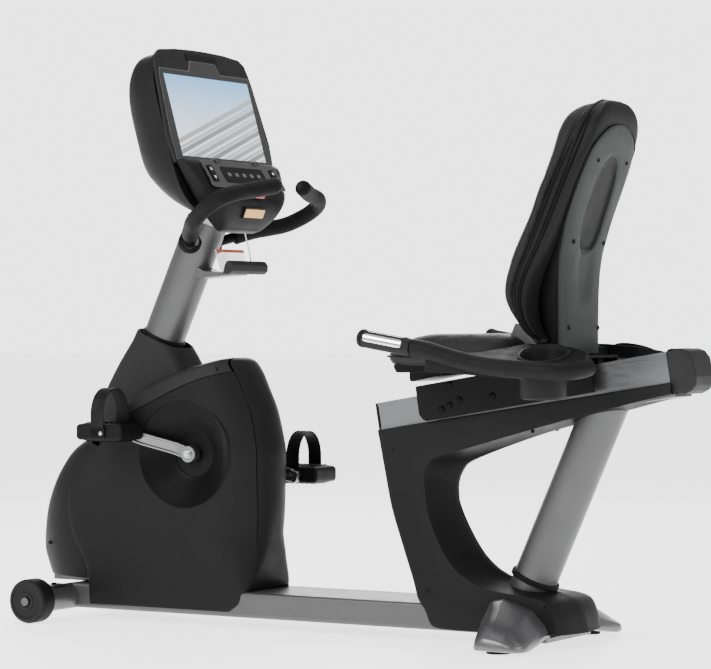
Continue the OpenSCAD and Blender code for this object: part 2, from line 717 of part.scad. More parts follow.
module cord_plug() {
    color("#e2e2e2") translate([-322, 53, 848]) rotate([23.4, 5, 0]) translate([0, 0, -13.6])
        cylinder(13.5, r = 3.5, $fn = 32);
}

// ---- Seat ----
plate_in = 69;
plate_out = 75;
module seat_carriage() {
    color("#1f1f1f") on_rail() {
        pair() side_extrude(plate_in, plate_out) polygon([[121, 20], [120, -44], [128, -57], [137, -61.5],
            [560, -61.5], [560, 20]]);
        translate([121, -plate_out, 14]) cube([439, 2 * plate_out, 6]);
        y_rod(lever_pivot[0], lever_pivot[2], plate_out - 1, plate_out + 9, 5);
        y_rod(lever_pivot[0], lever_pivot[2], plate_out + 8, plate_out + 11, 8);
    }
}
module carriage_glides() {
    color("#d5d2c8") on_rail() for (x = [140, 500]) {
        difference() {
            translate([x, -40, running]) cube([40, 80, 14 - running]);
            translate([x - 1, -12, -1]) cube([42, 24, 30]);
        }
        pair() translate([x, rail_w / 2 + running, -52]) cube([40, plate_in - rail_w / 2 - running, 40]);
    }
}
module seat_pan() {
    color("#171717") difference() {
        union() {
            translate([186, 8 - cushion_half, 609]) cube([320, 2 * cushion_half - 16, 18]);
            translate([150, -60, 576]) cube([110, 120, 40]);
        }
        on_rail() translate([60, -plate_out - 0.1, -100]) cube([600, 2 * plate_out + 0.2, 120.02]);
    }
}
module seat_cushion() {
    levels = [[627.2, 338, 160, 190], [640, 332, 176, 198], [655, 334, 176, 200], [672, 346, 158, 194],
        [684, 358, 132, 176], [690, 364, 100, 140]];
    color("#2c2c2d") difference() {
        loft([for (v = levels) ring(v[1], 0, v[0], v[2], v[3] - 200 + cushion_half, 0.36, 56)]);
        pair() side_extrude(85, 93) polygon([[434, 640], [455, 740], [560, 740], [560, 640]]);
    }
}
module back_post() {
    color("#262626") difference() {
        union() {
            side_extrude(-40, 40) polygon([[556, 600], [578, 600], [578, 858], [632, 1040], [618, 1044],
                [556, 862]]);
            side_extrude(-30, 30) polygon([[540, 900], [574, 900], [583, 930], [545, 930]]);
            translate([520, -158, 640]) cube([50, 316, 22]);
            pair() side_extrude(86, 92) polygon([[442, 664], [463, 714], [478, 712], [492, 690], [530, 655],
                [530, 645]]);
        }
        on_rail() translate([300, -100, -100]) cube([500, 200, 120.02]);
        back_loft(0, 1, -1.45);
    }
}
module back_loft(f0, f1, grow) {
    loft([for (v = back_levels) let (x0 = v[1] + (v[2] - v[1]) * f0, x1 = v[1] + (v[2] - v[1]) * f1)
        ring((x0 + x1) / 2, 0, v[0], (x1 - x0) / 2 + grow, v[3] + grow, 0.55, 32)]);
}
module back_cushion() { color("#2a2a2b") back_loft(0, 0.58, 0); }
module back_shell() {
    color("#333333") difference() {
        back_loft(0.12, 1, -1.5);
        back_loft(0, 0.58, 0.3);
    }
}
module spine_solid(inset) {
    loft([for (v = spine_levels) ring(v[1], 0, v[0] + (v[0] > 1000 ? -inset : 0), v[2] - inset, v[3] - inset,
        0.8, 28)]);
}
module spine_inner(inset) {
    difference() {
        spine_solid(inset);
        translate([400, -200, 1060]) cube([400, 400, 200]);
    }
}
module spine_cover() {
    color("#686a69") difference() {
        spine_solid(0);
        spine_inner(4);
        back_loft(0, 1, 0.3);
        translate([515, -162, 636]) cube([59, 324, 30]);
        side_extrude(-40.2, 40.2) polygon([[500, 600], [578.2, 600], [578.2, 858], [632.2, 1040],
            [618, 1045], [500, 1045]]);
    }
}
// Bolster along the armrest's outer edge
arm_route = [[314, 300, 662], [360, 301, 654], [420, 301, 643], [480, 301, 634], [540, 300, 629],
    [575, 298, 627]];
module armrest() {
    difference() {
        union() {
            loft(tube_rings(arm_route, 19.5, 20, [0, 0, 1]));
            translate([cup_at[0], cup_at[1], 610]) cylinder(34, r = 80, $fn = 96);
            translate([0, 0, 631]) linear_extrude(16) polygon([[400, 296], [430, 262], [470, 226], [500, 196],
                [525, 176], [525, 164], [568, 164], [600, 180], [600, 300]]);
        }
        translate([cup_at[0], cup_at[1], 500]) cylinder(300, r = cup_r + 6, $fn = 64);
    }
}
module armrests() { color("#3a3a3b") pair() armrest(); }
module cup_holders() {
    color("#3d3d3e") pair() translate([cup_at[0], cup_at[1], 551]) rotate_extrude($fn = 64)
        polygon([[0, 0], [cup_r + 3, 0], [cup_r + 6, 4], [cup_r + 6, 86], [cup_r, 86], [cup_r, 5], [0, 5]]);
}
module hand_grips() {
    color("#2f2f30") pair() difference() {
        on_grip() {
            cylinder(grip_len, r = grip_r, $fn = 64);
            for (a = [110, 185]) {
                rotate([0, 0, a]) intersection() {
                    translate([0, 0, 14]) difference() {
                        cylinder(98, r = grip_r + 1, $fn = 64);
                        cylinder(98, r = grip_r, $fn = 64);
                    }
                    translate([0, -9, 14]) cube([40, 18, 98]);
                }
            }
        }
        translate([321, grip_y, 661]) sphere(21.2, $fn = 32);
    }
}
module release_lever() {
    color("#202021") on_rail() translate(lever_pivot) {
        difference() {
            union() {
                side_extrude(plate_out + 1, plate_out + 7) polygon([[-14, -12], [14, -12], [14, 12], [0, 16],
                    [-150, 2], [-150, -14]]);
                translate([-175, plate_out + 14, -6]) rotate([0, 90, 0]) cylinder(60, r = 10, $fn = 48);
            }
            y_rod(0, 0, plate_out, plate_out + 9, 5 + running);
        }
    }
}
module brake_shoe() {
    color("#4a4a4a") on_rail() translate([280, rail_w / 2 + running, -44]) cube([60, 16, 34]);
}

base_frame();
front_stabilizer();
rear_foot();
foot_pads();
rear_strut();
tube_collars();
seat_rail();
rail_caps();
leg_covers();
mast();
mast_base_cover();
side_cover_left();
side_cover_right();
front_cover();
rear_cover();
top_trim();
hub_covers();
cover_screws();
crank_housing();
crank_bearings();
generator_axle();
drive_belt();
console_shell();
console_face();
screen();
keypad_panel();
handlebar_tubes();
foam_grips();
accessory_tray();
tray_window();
charge_cord();
cord_plug();
crank_axle();
drive_pulley();
crank_arms();
crank_bolts();
pedal_spindles();
pedal_left();
pedal_right();
toe_strap_left();
toe_strap_right();
flywheel_rotor();
wheel_left();
wheel_right();
seat_carriage();
carriage_glides();
seat_pan();
seat_cushion();
back_post();
spine_cover();
back_shell();
back_cushion();
armrests();
cup_holders();
hand_grips();
release_lever();
brake_shoe();
volume_key();
channel_key();
stop_button();
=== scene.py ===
"""Looks for the recumbent exercise bike.

Sizes are millimetres in the CAD frame, turned into metres by MM.
"""

import math

import bmesh
import bpy
import numpy as np
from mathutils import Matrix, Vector


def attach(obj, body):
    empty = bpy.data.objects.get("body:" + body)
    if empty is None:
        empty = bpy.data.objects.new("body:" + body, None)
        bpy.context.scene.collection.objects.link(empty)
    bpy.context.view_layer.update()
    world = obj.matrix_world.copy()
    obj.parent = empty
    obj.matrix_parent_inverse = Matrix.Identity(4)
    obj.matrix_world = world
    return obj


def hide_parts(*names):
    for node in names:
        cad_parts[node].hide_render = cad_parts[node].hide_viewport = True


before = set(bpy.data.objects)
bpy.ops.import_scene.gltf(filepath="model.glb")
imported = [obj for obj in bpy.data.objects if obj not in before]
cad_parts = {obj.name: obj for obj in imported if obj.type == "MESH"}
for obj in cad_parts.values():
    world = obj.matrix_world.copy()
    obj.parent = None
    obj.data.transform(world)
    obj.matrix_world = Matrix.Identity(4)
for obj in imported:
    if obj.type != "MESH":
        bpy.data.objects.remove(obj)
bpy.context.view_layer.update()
MM = 0.001
SIDES = (("left", -1), ("right", 1))

# ---------------------------------------------------------------- camera, light and floor


CAMERA_PLACE = Vector((3286.7, -5580.4, 720.9))
CAMERA_AZIMUTH, CAMERA_HEIGHT_ANGLE = math.radians(30.505), math.radians(0.295)
WORLD_LIGHT, BACKDROP_LIGHT = 0.7, 3.2
FLOOR_REACH = 60000


def make_camera():
    """The photograph's view: from the rider's left and behind, level with the seat back."""
    azimuth, elevation = CAMERA_AZIMUTH, CAMERA_HEIGHT_ANGLE
    look = Vector((-math.sin(azimuth) * math.cos(elevation), math.cos(azimuth) * math.cos(elevation),
                   -math.sin(elevation)))
    data = bpy.data.cameras.new("camera")
    data.sensor_width = 36.0
    data.lens = 141.3
    data.clip_end = 60.0
    camera = bpy.data.objects.new("camera", data)
    camera.location = CAMERA_PLACE * MM
    camera.rotation_mode = "QUATERNION"
    camera.rotation_quaternion = look.to_track_quat("-Z", "Y")
    bpy.context.scene.collection.objects.link(camera)
    bpy.context.scene.camera = camera


def make_light(name, place, aim, size, power):
    """A soft rectangular lamp turned towards a point; places are in metres."""
    data = bpy.data.lights.new(name, "AREA")
    data.shape = "RECTANGLE"
    data.size, data.size_y = size
    data.energy = power
    lamp = bpy.data.objects.new(name, data)
    lamp.location = Vector(place)
    lamp.rotation_mode = "QUATERNION"
    lamp.rotation_quaternion = (Vector(aim) - Vector(place)).to_track_quat("-Z", "Y")
    bpy.context.scene.collection.objects.link(lamp)


def make_studio():
    """Even white light, brighter from one side of the sky, four soft lamps and a pale floor."""
    world = bpy.data.worlds.new("studio")
    world.use_nodes = True
    tree = world.node_tree
    where = tree.nodes.new("ShaderNodeTexCoord")
    facing = tree.nodes.new("ShaderNodeVectorMath")
    facing.operation = "DOT_PRODUCT"
    facing.inputs[1].default_value = (-0.507, 0.861, -0.03)
    glow = tree.nodes.new("ShaderNodeMapRange")
    glow.interpolation_type = "SMOOTHSTEP"
    for name, value in (("From Min", 0.86), ("From Max", 0.97), ("To Min", WORLD_LIGHT),
                        ("To Max", BACKDROP_LIGHT)):
        glow.inputs[name].default_value = value
    tree.links.new(where.outputs["Generated"], facing.inputs[0])
    tree.links.new(facing.outputs["Value"], glow.inputs["Value"])
    tree.links.new(glow.outputs["Result"], tree.nodes["Background"].inputs["Strength"])
    tree.nodes["Background"].inputs["Color"].default_value = (1.0, 1.0, 1.0, 1.0)
    bpy.context.scene.world = world
    make_light("key", (-1.6, -4.2, 3.4), (0.0, 0.0, 0.6), (2.6, 2.0), 210)
    make_light("fill", (4.6, -1.2, 2.2), (0.0, 0.0, 0.6), (2.4, 2.4), 60)
    make_light("top", (0.2, 0.6, 4.2), (0.0, 0.0, 0.5), (3.2, 2.4), 70)
    make_light("back", (-2.6, 3.6, 2.6), (0.0, 0.0, 0.7), (2.4, 2.0), 70)
    corners = [(x, y, 0) for x, y in box(-FLOOR_REACH, -FLOOR_REACH, FLOOR_REACH, FLOOR_REACH)]
    floor = mesh_object("floor", corners, [(0, 1, 2, 3)], floor_material())


# ---------------------------------------------------------------- materials


class Nodes:
    """A short way to write a material's node tree."""

    def __init__(self, name):
        self.material = bpy.data.materials.new(name)
        self.material.use_nodes = True
        self.tree = self.material.node_tree
        self.shader = self.tree.nodes["Principled BSDF"]
        self.place = self.add("ShaderNodeTexCoord").outputs["Object"]

    def add(self, kind, **values):
        node = self.tree.nodes.new(kind)
        for key, value in values.items():
            if key in node.inputs:
                node.inputs[key].default_value = value
            else:
                setattr(node, key, value)
        return node

    def link(self, source, target):
        self.tree.links.new(source, target)

    def put(self, **values):
        for key, value in values.items():
            self.shader.inputs[key.replace("_", " ")].default_value = value

    def noise(self, size, detail=3.0, stretch=(1, 1, 1), roughness=0.55):
        """Noise whose lumps are about size metres across."""
        vector = self.place
        if stretch != (1, 1, 1):
            mapping = self.add("ShaderNodeMapping")
            mapping.inputs["Scale"].default_value = stretch
            self.link(vector, mapping.inputs["Vector"])
            vector = mapping.outputs["Vector"]
        node = self.add("ShaderNodeTexNoise", Scale=1.0 / size, Detail=detail, Roughness=roughness)
        self.link(vector, node.inputs["Vector"])
        return node.outputs["Fac"]

    def cells(self, size, feature="DISTANCE_TO_EDGE"):
        node = self.add("ShaderNodeTexVoronoi", feature=feature, Scale=1.0 / size)
        self.link(self.place, node.inputs["Vector"])
        return node.outputs["Distance"]

    def spread(self, value, low, high, start=0.3, end=0.7):
        node = self.add("ShaderNodeMapRange")
        self.link(value, node.inputs["Value"])
        node.inputs["From Min"].default_value = start
        node.inputs["From Max"].default_value = end
        node.inputs["To Min"].default_value = low
        node.inputs["To Max"].default_value = high
        return node.outputs["Result"]

    def maths(self, operation, a, b):
        node = self.add("ShaderNodeMath", operation=operation)
        for slot, value in zip(node.inputs, (a, b)):
            if hasattr(value, "links"):
                self.link(value, slot)
            else:
                slot.default_value = value
        return node.outputs["Value"]

    def tone(self, colour, *factors):
        """The base colour, made lighter and darker by each factor."""
        node = self.add("ShaderNodeHueSaturation", Color=(*colour, 1.0))
        value = factors[0]
        for factor in factors[1:]:
            value = self.maths("MULTIPLY", value, factor)
        self.link(value, node.inputs["Value"])
        self.link(node.outputs["Color"], self.shader.inputs["Base Color"])

    def bump(self, *layers):
        """Layers of (height, depth in metres), added one on another."""
        normal = None
        for height, depth in layers:
            node = self.add("ShaderNodeBump", Distance=depth, Strength=1.0)
            self.link(height, node.inputs["Height"])
            if normal is not None:
                self.link(normal, node.inputs["Normal"])
            normal = node.outputs["Normal"]
        self.link(normal, self.shader.inputs["Normal"])

    def edges(self, low=0.9, high=1.25):
        """Painted highlight and shade: sharp outer corners show a little lighter, hollows and creases a little
        darker.
        """
        geometry = self.add("ShaderNodeNewGeometry")
        return self.spread(geometry.outputs["Pointiness"], low, high, 0.47, 0.56)


def floor_material():
    n = Nodes("pale_floor")
    n.tone((0.90, 0.90, 0.90), n.spread(n.noise(0.8), 0.99, 1.01))
    n.put(Roughness=0.55, Emission_Color=(1.0, 1.0, 1.0, 1.0), Emission_Strength=2.0)
    return n.material


def moulded(name, colour, roughness=0.48, grain=0.0011, depth=0.00022, mottle=0.05, edge_light_span=(0.96, 1.14)):
    """Injection-moulded plastic with a spark-eroded grain."""
    n = Nodes(name)
    # The edge factor is painted light: a highlight on sharp corners and shade in hollows.
    n.tone(colour, n.spread(n.noise(0.16), 1 - mottle, 1 + mottle), n.edges(*edge_light_span),
           n.spread(n.noise(grain * 3), 0.94, 1.06))
    n.link(n.spread(n.noise(0.05), roughness - 0.05, roughness + 0.06), n.shader.inputs["Roughness"])
    n.put(Specular_IOR_Level=0.08)
    n.bump((n.noise(grain, 2.0), depth), (n.noise(0.03), 0.0002))
    return n.material


def metallic_paint(name, colour, roughness=0.42, flake=0.0006):
    """Silver powder coat: fine flake and a light orange peel, with a faint painted highlight on sharp edges and
    painted shade in hollows.
    """
    n = Nodes(name)
    n.tone(colour, n.spread(n.noise(flake, 1.0), 0.88, 1.12), n.spread(n.noise(0.2), 0.97, 1.03),
           n.edges(0.97, 1.1))
    n.put(Metallic=0.55, Coat_Weight=0.18, Coat_Roughness=0.3)
    n.link(n.spread(n.noise(0.06), roughness - 0.05, roughness + 0.07), n.shader.inputs["Roughness"])
    n.bump((n.noise(0.0035, 2.0), 0.00012), (n.noise(flake, 1.0), 0.00003))
    return n.material


def brushed(name, colour, roughness=0.3, stretch=(0.02, 1, 1), metal=0.95, line=0.0006):
    """Metal with fine lines along one axis."""
    n = Nodes(name)
    lines = n.noise(line, 3.0, stretch)
    n.tone(colour, n.spread(lines, 0.93, 1.07), n.spread(n.noise(0.12), 0.97, 1.03))
    n.put(Metallic=metal)
    n.link(n.spread(lines, roughness - 0.07, roughness + 0.1), n.shader.inputs["Roughness"])
    n.bump((lines, 0.00005), (n.noise(0.02), 0.00006))
    return n.material


def cast_metal(name, colour, roughness=0.38, metal=0.8):
    """Painted or bare casting with a sandy skin."""
    n = Nodes(name)
    # The edge factor is painted light: a highlight on sharp corners and shade in hollows.
    n.tone(colour, n.spread(n.noise(0.0025, 4.0), 0.88, 1.1), n.spread(n.noise(0.07), 0.93, 1.06),
           n.edges(0.95, 1.2))
    n.put(Metallic=metal)
    n.link(n.spread(n.noise(0.012), roughness - 0.08, roughness + 0.1), n.shader.inputs["Roughness"])
    n.bump((n.noise(0.0018, 4.0), 0.00025), (n.noise(0.018), 0.0004))
    return n.material


def rubber(name, colour, roughness=0.7, cell=0.0016, depth=0.0003):
    """Closed-cell foam or rubber with small pores."""
    n = Nodes(name)
    pores = n.cells(cell)
    n.tone(colour, n.spread(pores, 0.85, 1.1, 0.0, 0.5), n.spread(n.noise(0.05), 0.93, 1.07))
    n.link(n.spread(n.noise(0.03), roughness - 0.06, roughness + 0.08), n.shader.inputs["Roughness"])
    n.put(Specular_IOR_Level=0.12)
    n.bump((pores, depth), (n.noise(0.02), 0.0003))
    return n.material


def vinyl(name, colour, roughness=0.5):
    """Upholstery vinyl: leather grain in two sizes with soft stretch marks."""
    n = Nodes(name)
    fine, coarse = n.cells(0.0021), n.cells(0.0052)
    n.tone(colour, n.spread(fine, 0.86, 1.06, 0.0, 0.35), n.spread(n.noise(0.12), 0.94, 1.07))
    n.link(n.spread(n.noise(0.008), roughness - 0.07, roughness + 0.08), n.shader.inputs["Roughness"])
    n.put(Specular_IOR_Level=0.2)
    n.bump((n.spread(fine, 0, 1, 0.0, 0.3), 0.00016), (n.spread(coarse, 0, 1, 0.0, 0.25), 0.00022),
           (n.noise(0.05), 0.0007))
    return n.material


def chrome(name):
    n = Nodes(name)
    n.tone((0.80, 0.81, 0.82), n.spread(n.noise(0.03), 0.97, 1.03))
    n.put(Metallic=1.0)
    n.link(n.spread(n.noise(0.01), 0.07, 0.15), n.shader.inputs["Roughness"])
    n.bump((n.noise(0.004), 0.00002))
    return n.material


def clear_plastic(name):
    n = Nodes(name)
    n.tone((0.86, 0.90, 0.92), n.spread(n.noise(0.04), 0.97, 1.03))
    n.put(Transmission_Weight=0.9, IOR=1.46, Alpha=0.55)
    n.link(n.spread(n.noise(0.02), 0.05, 0.14), n.shader.inputs["Roughness"])
    n.bump((n.noise(0.015), 0.00008))
    return n.material


def glossy(name, colour, roughness=0.2, coat=0.5):
    n = Nodes(name)
    # The edge factor is painted light: a highlight on sharp corners and shade in hollows.
    n.tone(colour, n.spread(n.noise(0.02), 0.95, 1.05), n.edges(0.96, 1.1))
    n.put(Coat_Weight=coat, Coat_Roughness=0.1)
    n.link(n.spread(n.noise(0.01), roughness - 0.04, roughness + 0.05), n.shader.inputs["Roughness"])
    n.bump((n.noise(0.003), 0.00004))
    return n.material


CHARCOAL = moulded("charcoal_plastic", (0.0085, 0.0085, 0.0088))
# Darker charcoal for the crank dish, and painted shade where it lines the spine cover's recess.
CHARCOAL_DARK = moulded("dark_plastic_and_recess_shade", (0.0045, 0.0045, 0.0047), 0.42)
TRIM = moulded("trim_plastic", (0.017, 0.017, 0.0175), 0.5)
SPINE = moulded("spine_plastic", (0.032, 0.0335, 0.0335), 0.5)
BLACK = moulded("black_plastic", (0.0035, 0.0035, 0.0035), 0.4)
PEDAL = moulded("pedal_plastic", (0.005, 0.005, 0.005), 0.45, 0.0016, 0.0004)
WHEEL = moulded("wheel_plastic", (0.013, 0.013, 0.0135), 0.5)
SOFT = rubber("armrest_skin", (0.0050, 0.0050, 0.0053), 0.55, 0.0012, 0.00015)
FOAM = rubber("grip_foam", (0.005, 0.005, 0.005), 0.68, 0.0015, 0.0003)
RUBBER = rubber("black_rubber", (0.004, 0.004, 0.004), 0.6)
STRAP = rubber("strap_rubber", (0.006, 0.006, 0.006), 0.5, 0.002, 0.00015)
FRAME = metallic_paint("frame_silver", (0.062, 0.062, 0.064))
FOOT = metallic_paint("foot_silver", (0.095, 0.095, 0.098), 0.3)
RAIL = brushed("rail_aluminium", (0.15, 0.152, 0.155), 0.34)
ALLOY = cast_metal("cast_alloy", (0.17, 0.17, 0.174), 0.28, 0.95)
STEEL = brushed("turned_steel", (0.52, 0.53, 0.54), 0.25, (1, 0.05, 1))
IRON = cast_metal("rotor_iron", (0.20, 0.20, 0.21), 0.42, 0.9)
BLACK_STEEL = moulded("black_steel", (0.0045, 0.0045, 0.0047), 0.4, 0.0018, 0.0003)
CHROME = chrome("contact_chrome")
VINYL = vinyl("seat_vinyl", (0.0075, 0.0075, 0.008))
NYLON = moulded("glide_nylon", (0.012, 0.012, 0.012), 0.5)
WHITE = rubber("white_cable", (0.72, 0.72, 0.70), 0.45, 0.003, 0.00005)
RED = glossy("stop_red", (0.42, 0.03, 0.02))
AMBER = glossy("amber_plate", (0.70, 0.36, 0.05), 0.35, 0.2)
ORANGE = glossy("orange_strip", (0.50, 0.08, 0.03), 0.35, 0.2)
KEY_WHITE = glossy("icon_white", (0.62, 0.62, 0.62), 0.35, 0.2)
CLEAR = clear_plastic("clear_window")
FACE = moulded("console_face_plastic", (0.013, 0.013, 0.0135), 0.46)
TRIM_LIGHT = moulded("light_line", (0.10, 0.10, 0.10), 0.4)
GLOSS_BLACK = glossy("gloss_black", (0.005, 0.005, 0.005), 0.18, 0.25)
GRIP = moulded("grip_plastic", (0.012, 0.012, 0.0125), 0.42)

# ---------------------------------------------------------------- shape helpers


def mesh_object(name, points, faces, material, smooth=40.0):
    """A mesh object from points in millimetres, smooth up to the given edge angle."""
    data = bpy.data.meshes.new(name)
    data.from_pydata([tuple(c * MM for c in p) for p in points], [], [tuple(f) for f in faces])
    data.update()
    obj = bpy.data.objects.new(name, data)
    bpy.context.scene.collection.objects.link(obj)
    data.materials.append(material)
    shade(obj, smooth)
    return obj


def shade(obj, angle=40.0):
    work = bmesh.new()
    work.from_mesh(obj.data)
    bmesh.ops.remove_doubles(work, verts=work.verts, dist=0.00002)
    bmesh.ops.recalc_face_normals(work, faces=work.faces)
    work.to_mesh(obj.data)
    work.free()
    obj.data.shade_smooth()
    obj.data.set_sharp_from_angle(angle=math.radians(angle))


def modify(obj, kind, **values):
    m = obj.modifiers.new(kind.lower(), kind)
    for key, value in values.items():
        setattr(m, key, value)
    return obj


def applied(obj):
    """Turns the piece's modifiers into its mesh."""
    made = bpy.data.meshes.new_from_object(obj.evaluated_get(bpy.context.evaluated_depsgraph_get()))
    obj.modifiers.clear()
    obj.data = made
    return obj


def bored(obj, cutter):
    """Cuts the cutter's shape out of the piece, and takes the cutter away."""
    modify(obj, "BOOLEAN", operation="DIFFERENCE", object=cutter, solver="EXACT")
    applied(obj)
    bpy.data.objects.remove(cutter)
    return obj


def bevel(obj, width, segments=3, angle=35.0):
    return modify(obj, "BEVEL", width=width * MM, segments=segments, limit_method="ANGLE",
                  angle_limit=math.radians(angle), harden_normals=True)


def thick(obj, thickness, edge=0.8, offset=-1.0):
    """Gives a skin its wall, and rounds the wall's own edges so that seams catch the light."""
    modify(obj, "SOLIDIFY", thickness=thickness * MM, offset=offset)
    return bevel(obj, edge, 2, 50.0)


def fit(obj, body, replaces=()):
    """Puts a finished piece under its body, and hides the CAD nodes that it stands for."""
    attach(obj, body)
    if replaces:
        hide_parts(*replaces)
    return obj


def spline(points, count, closed=False):
    """A smooth curve through the points, as count points evenly spaced along it."""
    p = np.array(points, float)
    m = len(p)
    spans = m if closed else m - 1
    fine = []
    for k in range(spans):
        if closed:
            a, b, c, d = p[(k - 1) % m], p[k], p[(k + 1) % m], p[(k + 2) % m]
        else:
            a, b, c, d = p[max(k - 1, 0)], p[k], p[k + 1], p[min(k + 2, m - 1)]
        for t in np.linspace(0, 1, 24, endpoint=False):
            fine.append(0.5 * (2 * b + (c - a) * t + (2 * a - 5 * b + 4 * c - d) * t * t
                               + (3 * b - a - 3 * c + d) * t ** 3))
    fine.append(p[0] if closed else p[-1])
    fine = np.array(fine)
    steps = np.linalg.norm(np.diff(fine, axis=0), axis=1)
    along = np.concatenate([[0], np.cumsum(steps)])
    wanted = np.linspace(0, along[-1], count, endpoint=not closed)
    return np.stack([np.interp(wanted, along, fine[:, i]) for i in range(p.shape[1])], axis=1)


def turn(degrees):
    """Cosine and sine of an angle in degrees."""
    return math.cos(math.radians(degrees)), math.sin(math.radians(degrees))


def stations(table, count):
    """Rows of numbers, blended smoothly to count rows. The first column is the place along the piece."""
    t = np.array(table, float)
    wanted = np.linspace(t[0, 0], t[-1, 0], count)
    secant = np.diff(t, axis=0) / np.diff(t[:, :1], axis=0)
    slopes = np.vstack([secant[:1], (secant[:-1] + secant[1:]) / 2, secant[-1:]])
    limit = 2.5 * np.minimum(abs(secant[:-1]), abs(secant[1:]))
    slopes[1:-1] = np.where(secant[:-1] * secant[1:] > 0, np.clip(slopes[1:-1], -limit, limit), 0)
    out = np.empty((count, t.shape[1]))
    for i, x in enumerate(wanted):
        k = min(max(np.searchsorted(t[:, 0], x) - 1, 0), len(t) - 2)
        h = t[k + 1, 0] - t[k, 0]
        s = (x - t[k, 0]) / h
        out[i] = ((1 + 2 * s) * (1 - s) ** 2 * t[k] + s * (1 - s) ** 2 * h * slopes[k]
                  + s * s * (3 - 2 * s) * t[k + 1] + s * s * (s - 1) * h * slopes[k + 1])
    return out


def blend(table, count):
    """Rows that stand at even steps along the piece, blended smoothly to count rows."""
    return stations([(k, *row) for k, row in enumerate(table)], count)[:, 1:]


def grid_faces(rows, cols, wrap_rows=False, wrap_cols=False):
    faces = []
    for j in range(rows if wrap_rows else rows - 1):
        for i in range(cols if wrap_cols else cols - 1):
            a, b = j * cols + i, j * cols + (i + 1) % cols
            c, d = ((j + 1) % rows) * cols + (i + 1) % cols, ((j + 1) % rows) * cols + i
            faces.append((a, b, c, d))
    return faces


def skin(name, rows, material, wrap_rows=False, wrap_cols=False, smooth=40.0):
    """A surface through a grid of points."""
    n, m = len(rows), len(rows[0])
    points = [p for row in rows for p in row]
    return mesh_object(name, points, grid_faces(n, m, wrap_rows, wrap_cols), material, smooth)


def loft(name, rings, material, caps=True, smooth=40.0):
    """A closed skin over rings of points, with its two ends closed."""
    n, m = len(rings), len(rings[0])
    faces = grid_faces(n, m, wrap_cols=True)
    if caps:
        faces += [tuple(range(m)), tuple((n - 1) * m + i for i in reversed(range(m)))]
    return mesh_object(name, [p for ring in rings for p in ring], faces, material, smooth)


def spow(value, power):
    return math.copysign(abs(value) ** power, value)


def oval(centre, u, v, a, b, square=2.0, count=48):
    """Ring on a superellipse with half axes a along u and b along v; square 2 is round and more is boxier."""
    e = 2.0 / square
    ring = []
    for i in range(count):
        t = 2 * math.pi * i / count
        along, across = a * spow(math.cos(t), e), b * spow(math.sin(t), e)
        ring.append(Vector(centre) + Vector(u) * along + Vector(v) * across)
    return ring


def level_oval(x, z, a, b, square, count):
    """A level ring centred on the mid-plane, with half axes a along x and b along y."""
    return oval((x, 0, z), (1, 0, 0), (0, 1, 0), a, b, square, count)


def middle_of(ring):
    return sum((Vector(p) for p in ring), Vector()) / len(ring)


def box(u0, v0, u1, v1):
    """A rectangle's corners, in order round it from (u0, v0)."""
    return [(u0, v0), (u1, v0), (u1, v1), (u0, v1)]


def frames(path):
    """Turns a path of points into (point, side, up) triples that don't twist."""
    path = [Vector(p) for p in path]
    side = None
    out = []
    for k, p in enumerate(path):
        t = (path[min(k + 1, len(path) - 1)] - path[max(k - 1, 0)]).normalized()
        if side is None:
            side = t.cross(Vector((0, 0, 1)) if abs(t.z) < 0.9 else Vector((1, 0, 0))).normalized()
        side = (side - t * side.dot(t)).normalized()
        out.append((p, side, side.cross(t).normalized()))
    return out


def tube(name, path, radius, material, count=32, ends=0.35, smooth=40.0):
    """A round bar along a path, with its end edges rounded by a share of the radius."""
    places = frames(path)
    rings = []
    if ends:
        for k in (0, len(places) - 1):
            p, side, up = places[k]
            out = (Vector(path[0]) - Vector(path[1])) if k == 0 else (Vector(path[-1]) - Vector(path[-2]))
            out.normalize()
            arcs = []
            for a in range(0, 91, 18):
                c, s = turn(a)
                r = radius * (1 - ends) + radius * ends * c
                arcs.append(oval(p + out * (radius * ends * (s - 1)), side, up, r, r, 2.0, count))
            if k == 0:
                rings += list(reversed(arcs))
                rings += [oval(q, s2, u2, radius, radius, 2.0, count) for q, s2, u2 in places[1:-1]]
            else:
                rings += arcs
    else:
        rings = [oval(p, s, u, radius, radius, 2.0, count) for p, s, u in places]
    return loft(name, rings, material, True, smooth)


def lathe(name, profile, centre, axis, material, count=64, closed=True, smooth=35.0):
    """Turns (radius, distance) points round an axis. A closed profile makes a solid ring."""
    axis = Vector(axis).normalized()
    side = axis.orthogonal().normalized()
    up = axis.cross(side)
    rings = []
    for i in range(count):
        a = 2 * math.pi * i / count
        d = side * math.cos(a) + up * math.sin(a)
        rings.append([Vector(centre) + d * r + axis * h for r, h in profile])
    return skin(name, rings, material, wrap_rows=True, wrap_cols=closed, smooth=smooth)


def prism(name, outline, low, high, material, edge=1.5, segments=3, place=None, smooth=35.0):
    """An outline drawn in (x, z), or a place's own (u, v), pushed along y from low to high, with round edges."""
    if place is None:
        place = lambda x, y, z: (x, y, z)
    n = len(outline)
    points = [place(x, low, z) for x, z in outline] + [place(x, high, z) for x, z in outline]
    faces = [tuple(range(n)), tuple(n + i for i in reversed(range(n)))]
    faces += [(i, n + i, n + (i + 1) % n, (i + 1) % n) for i in range(n)]
    obj = mesh_object(name, points, faces, material, smooth)
    return bevel(obj, edge, segments) if edge else obj


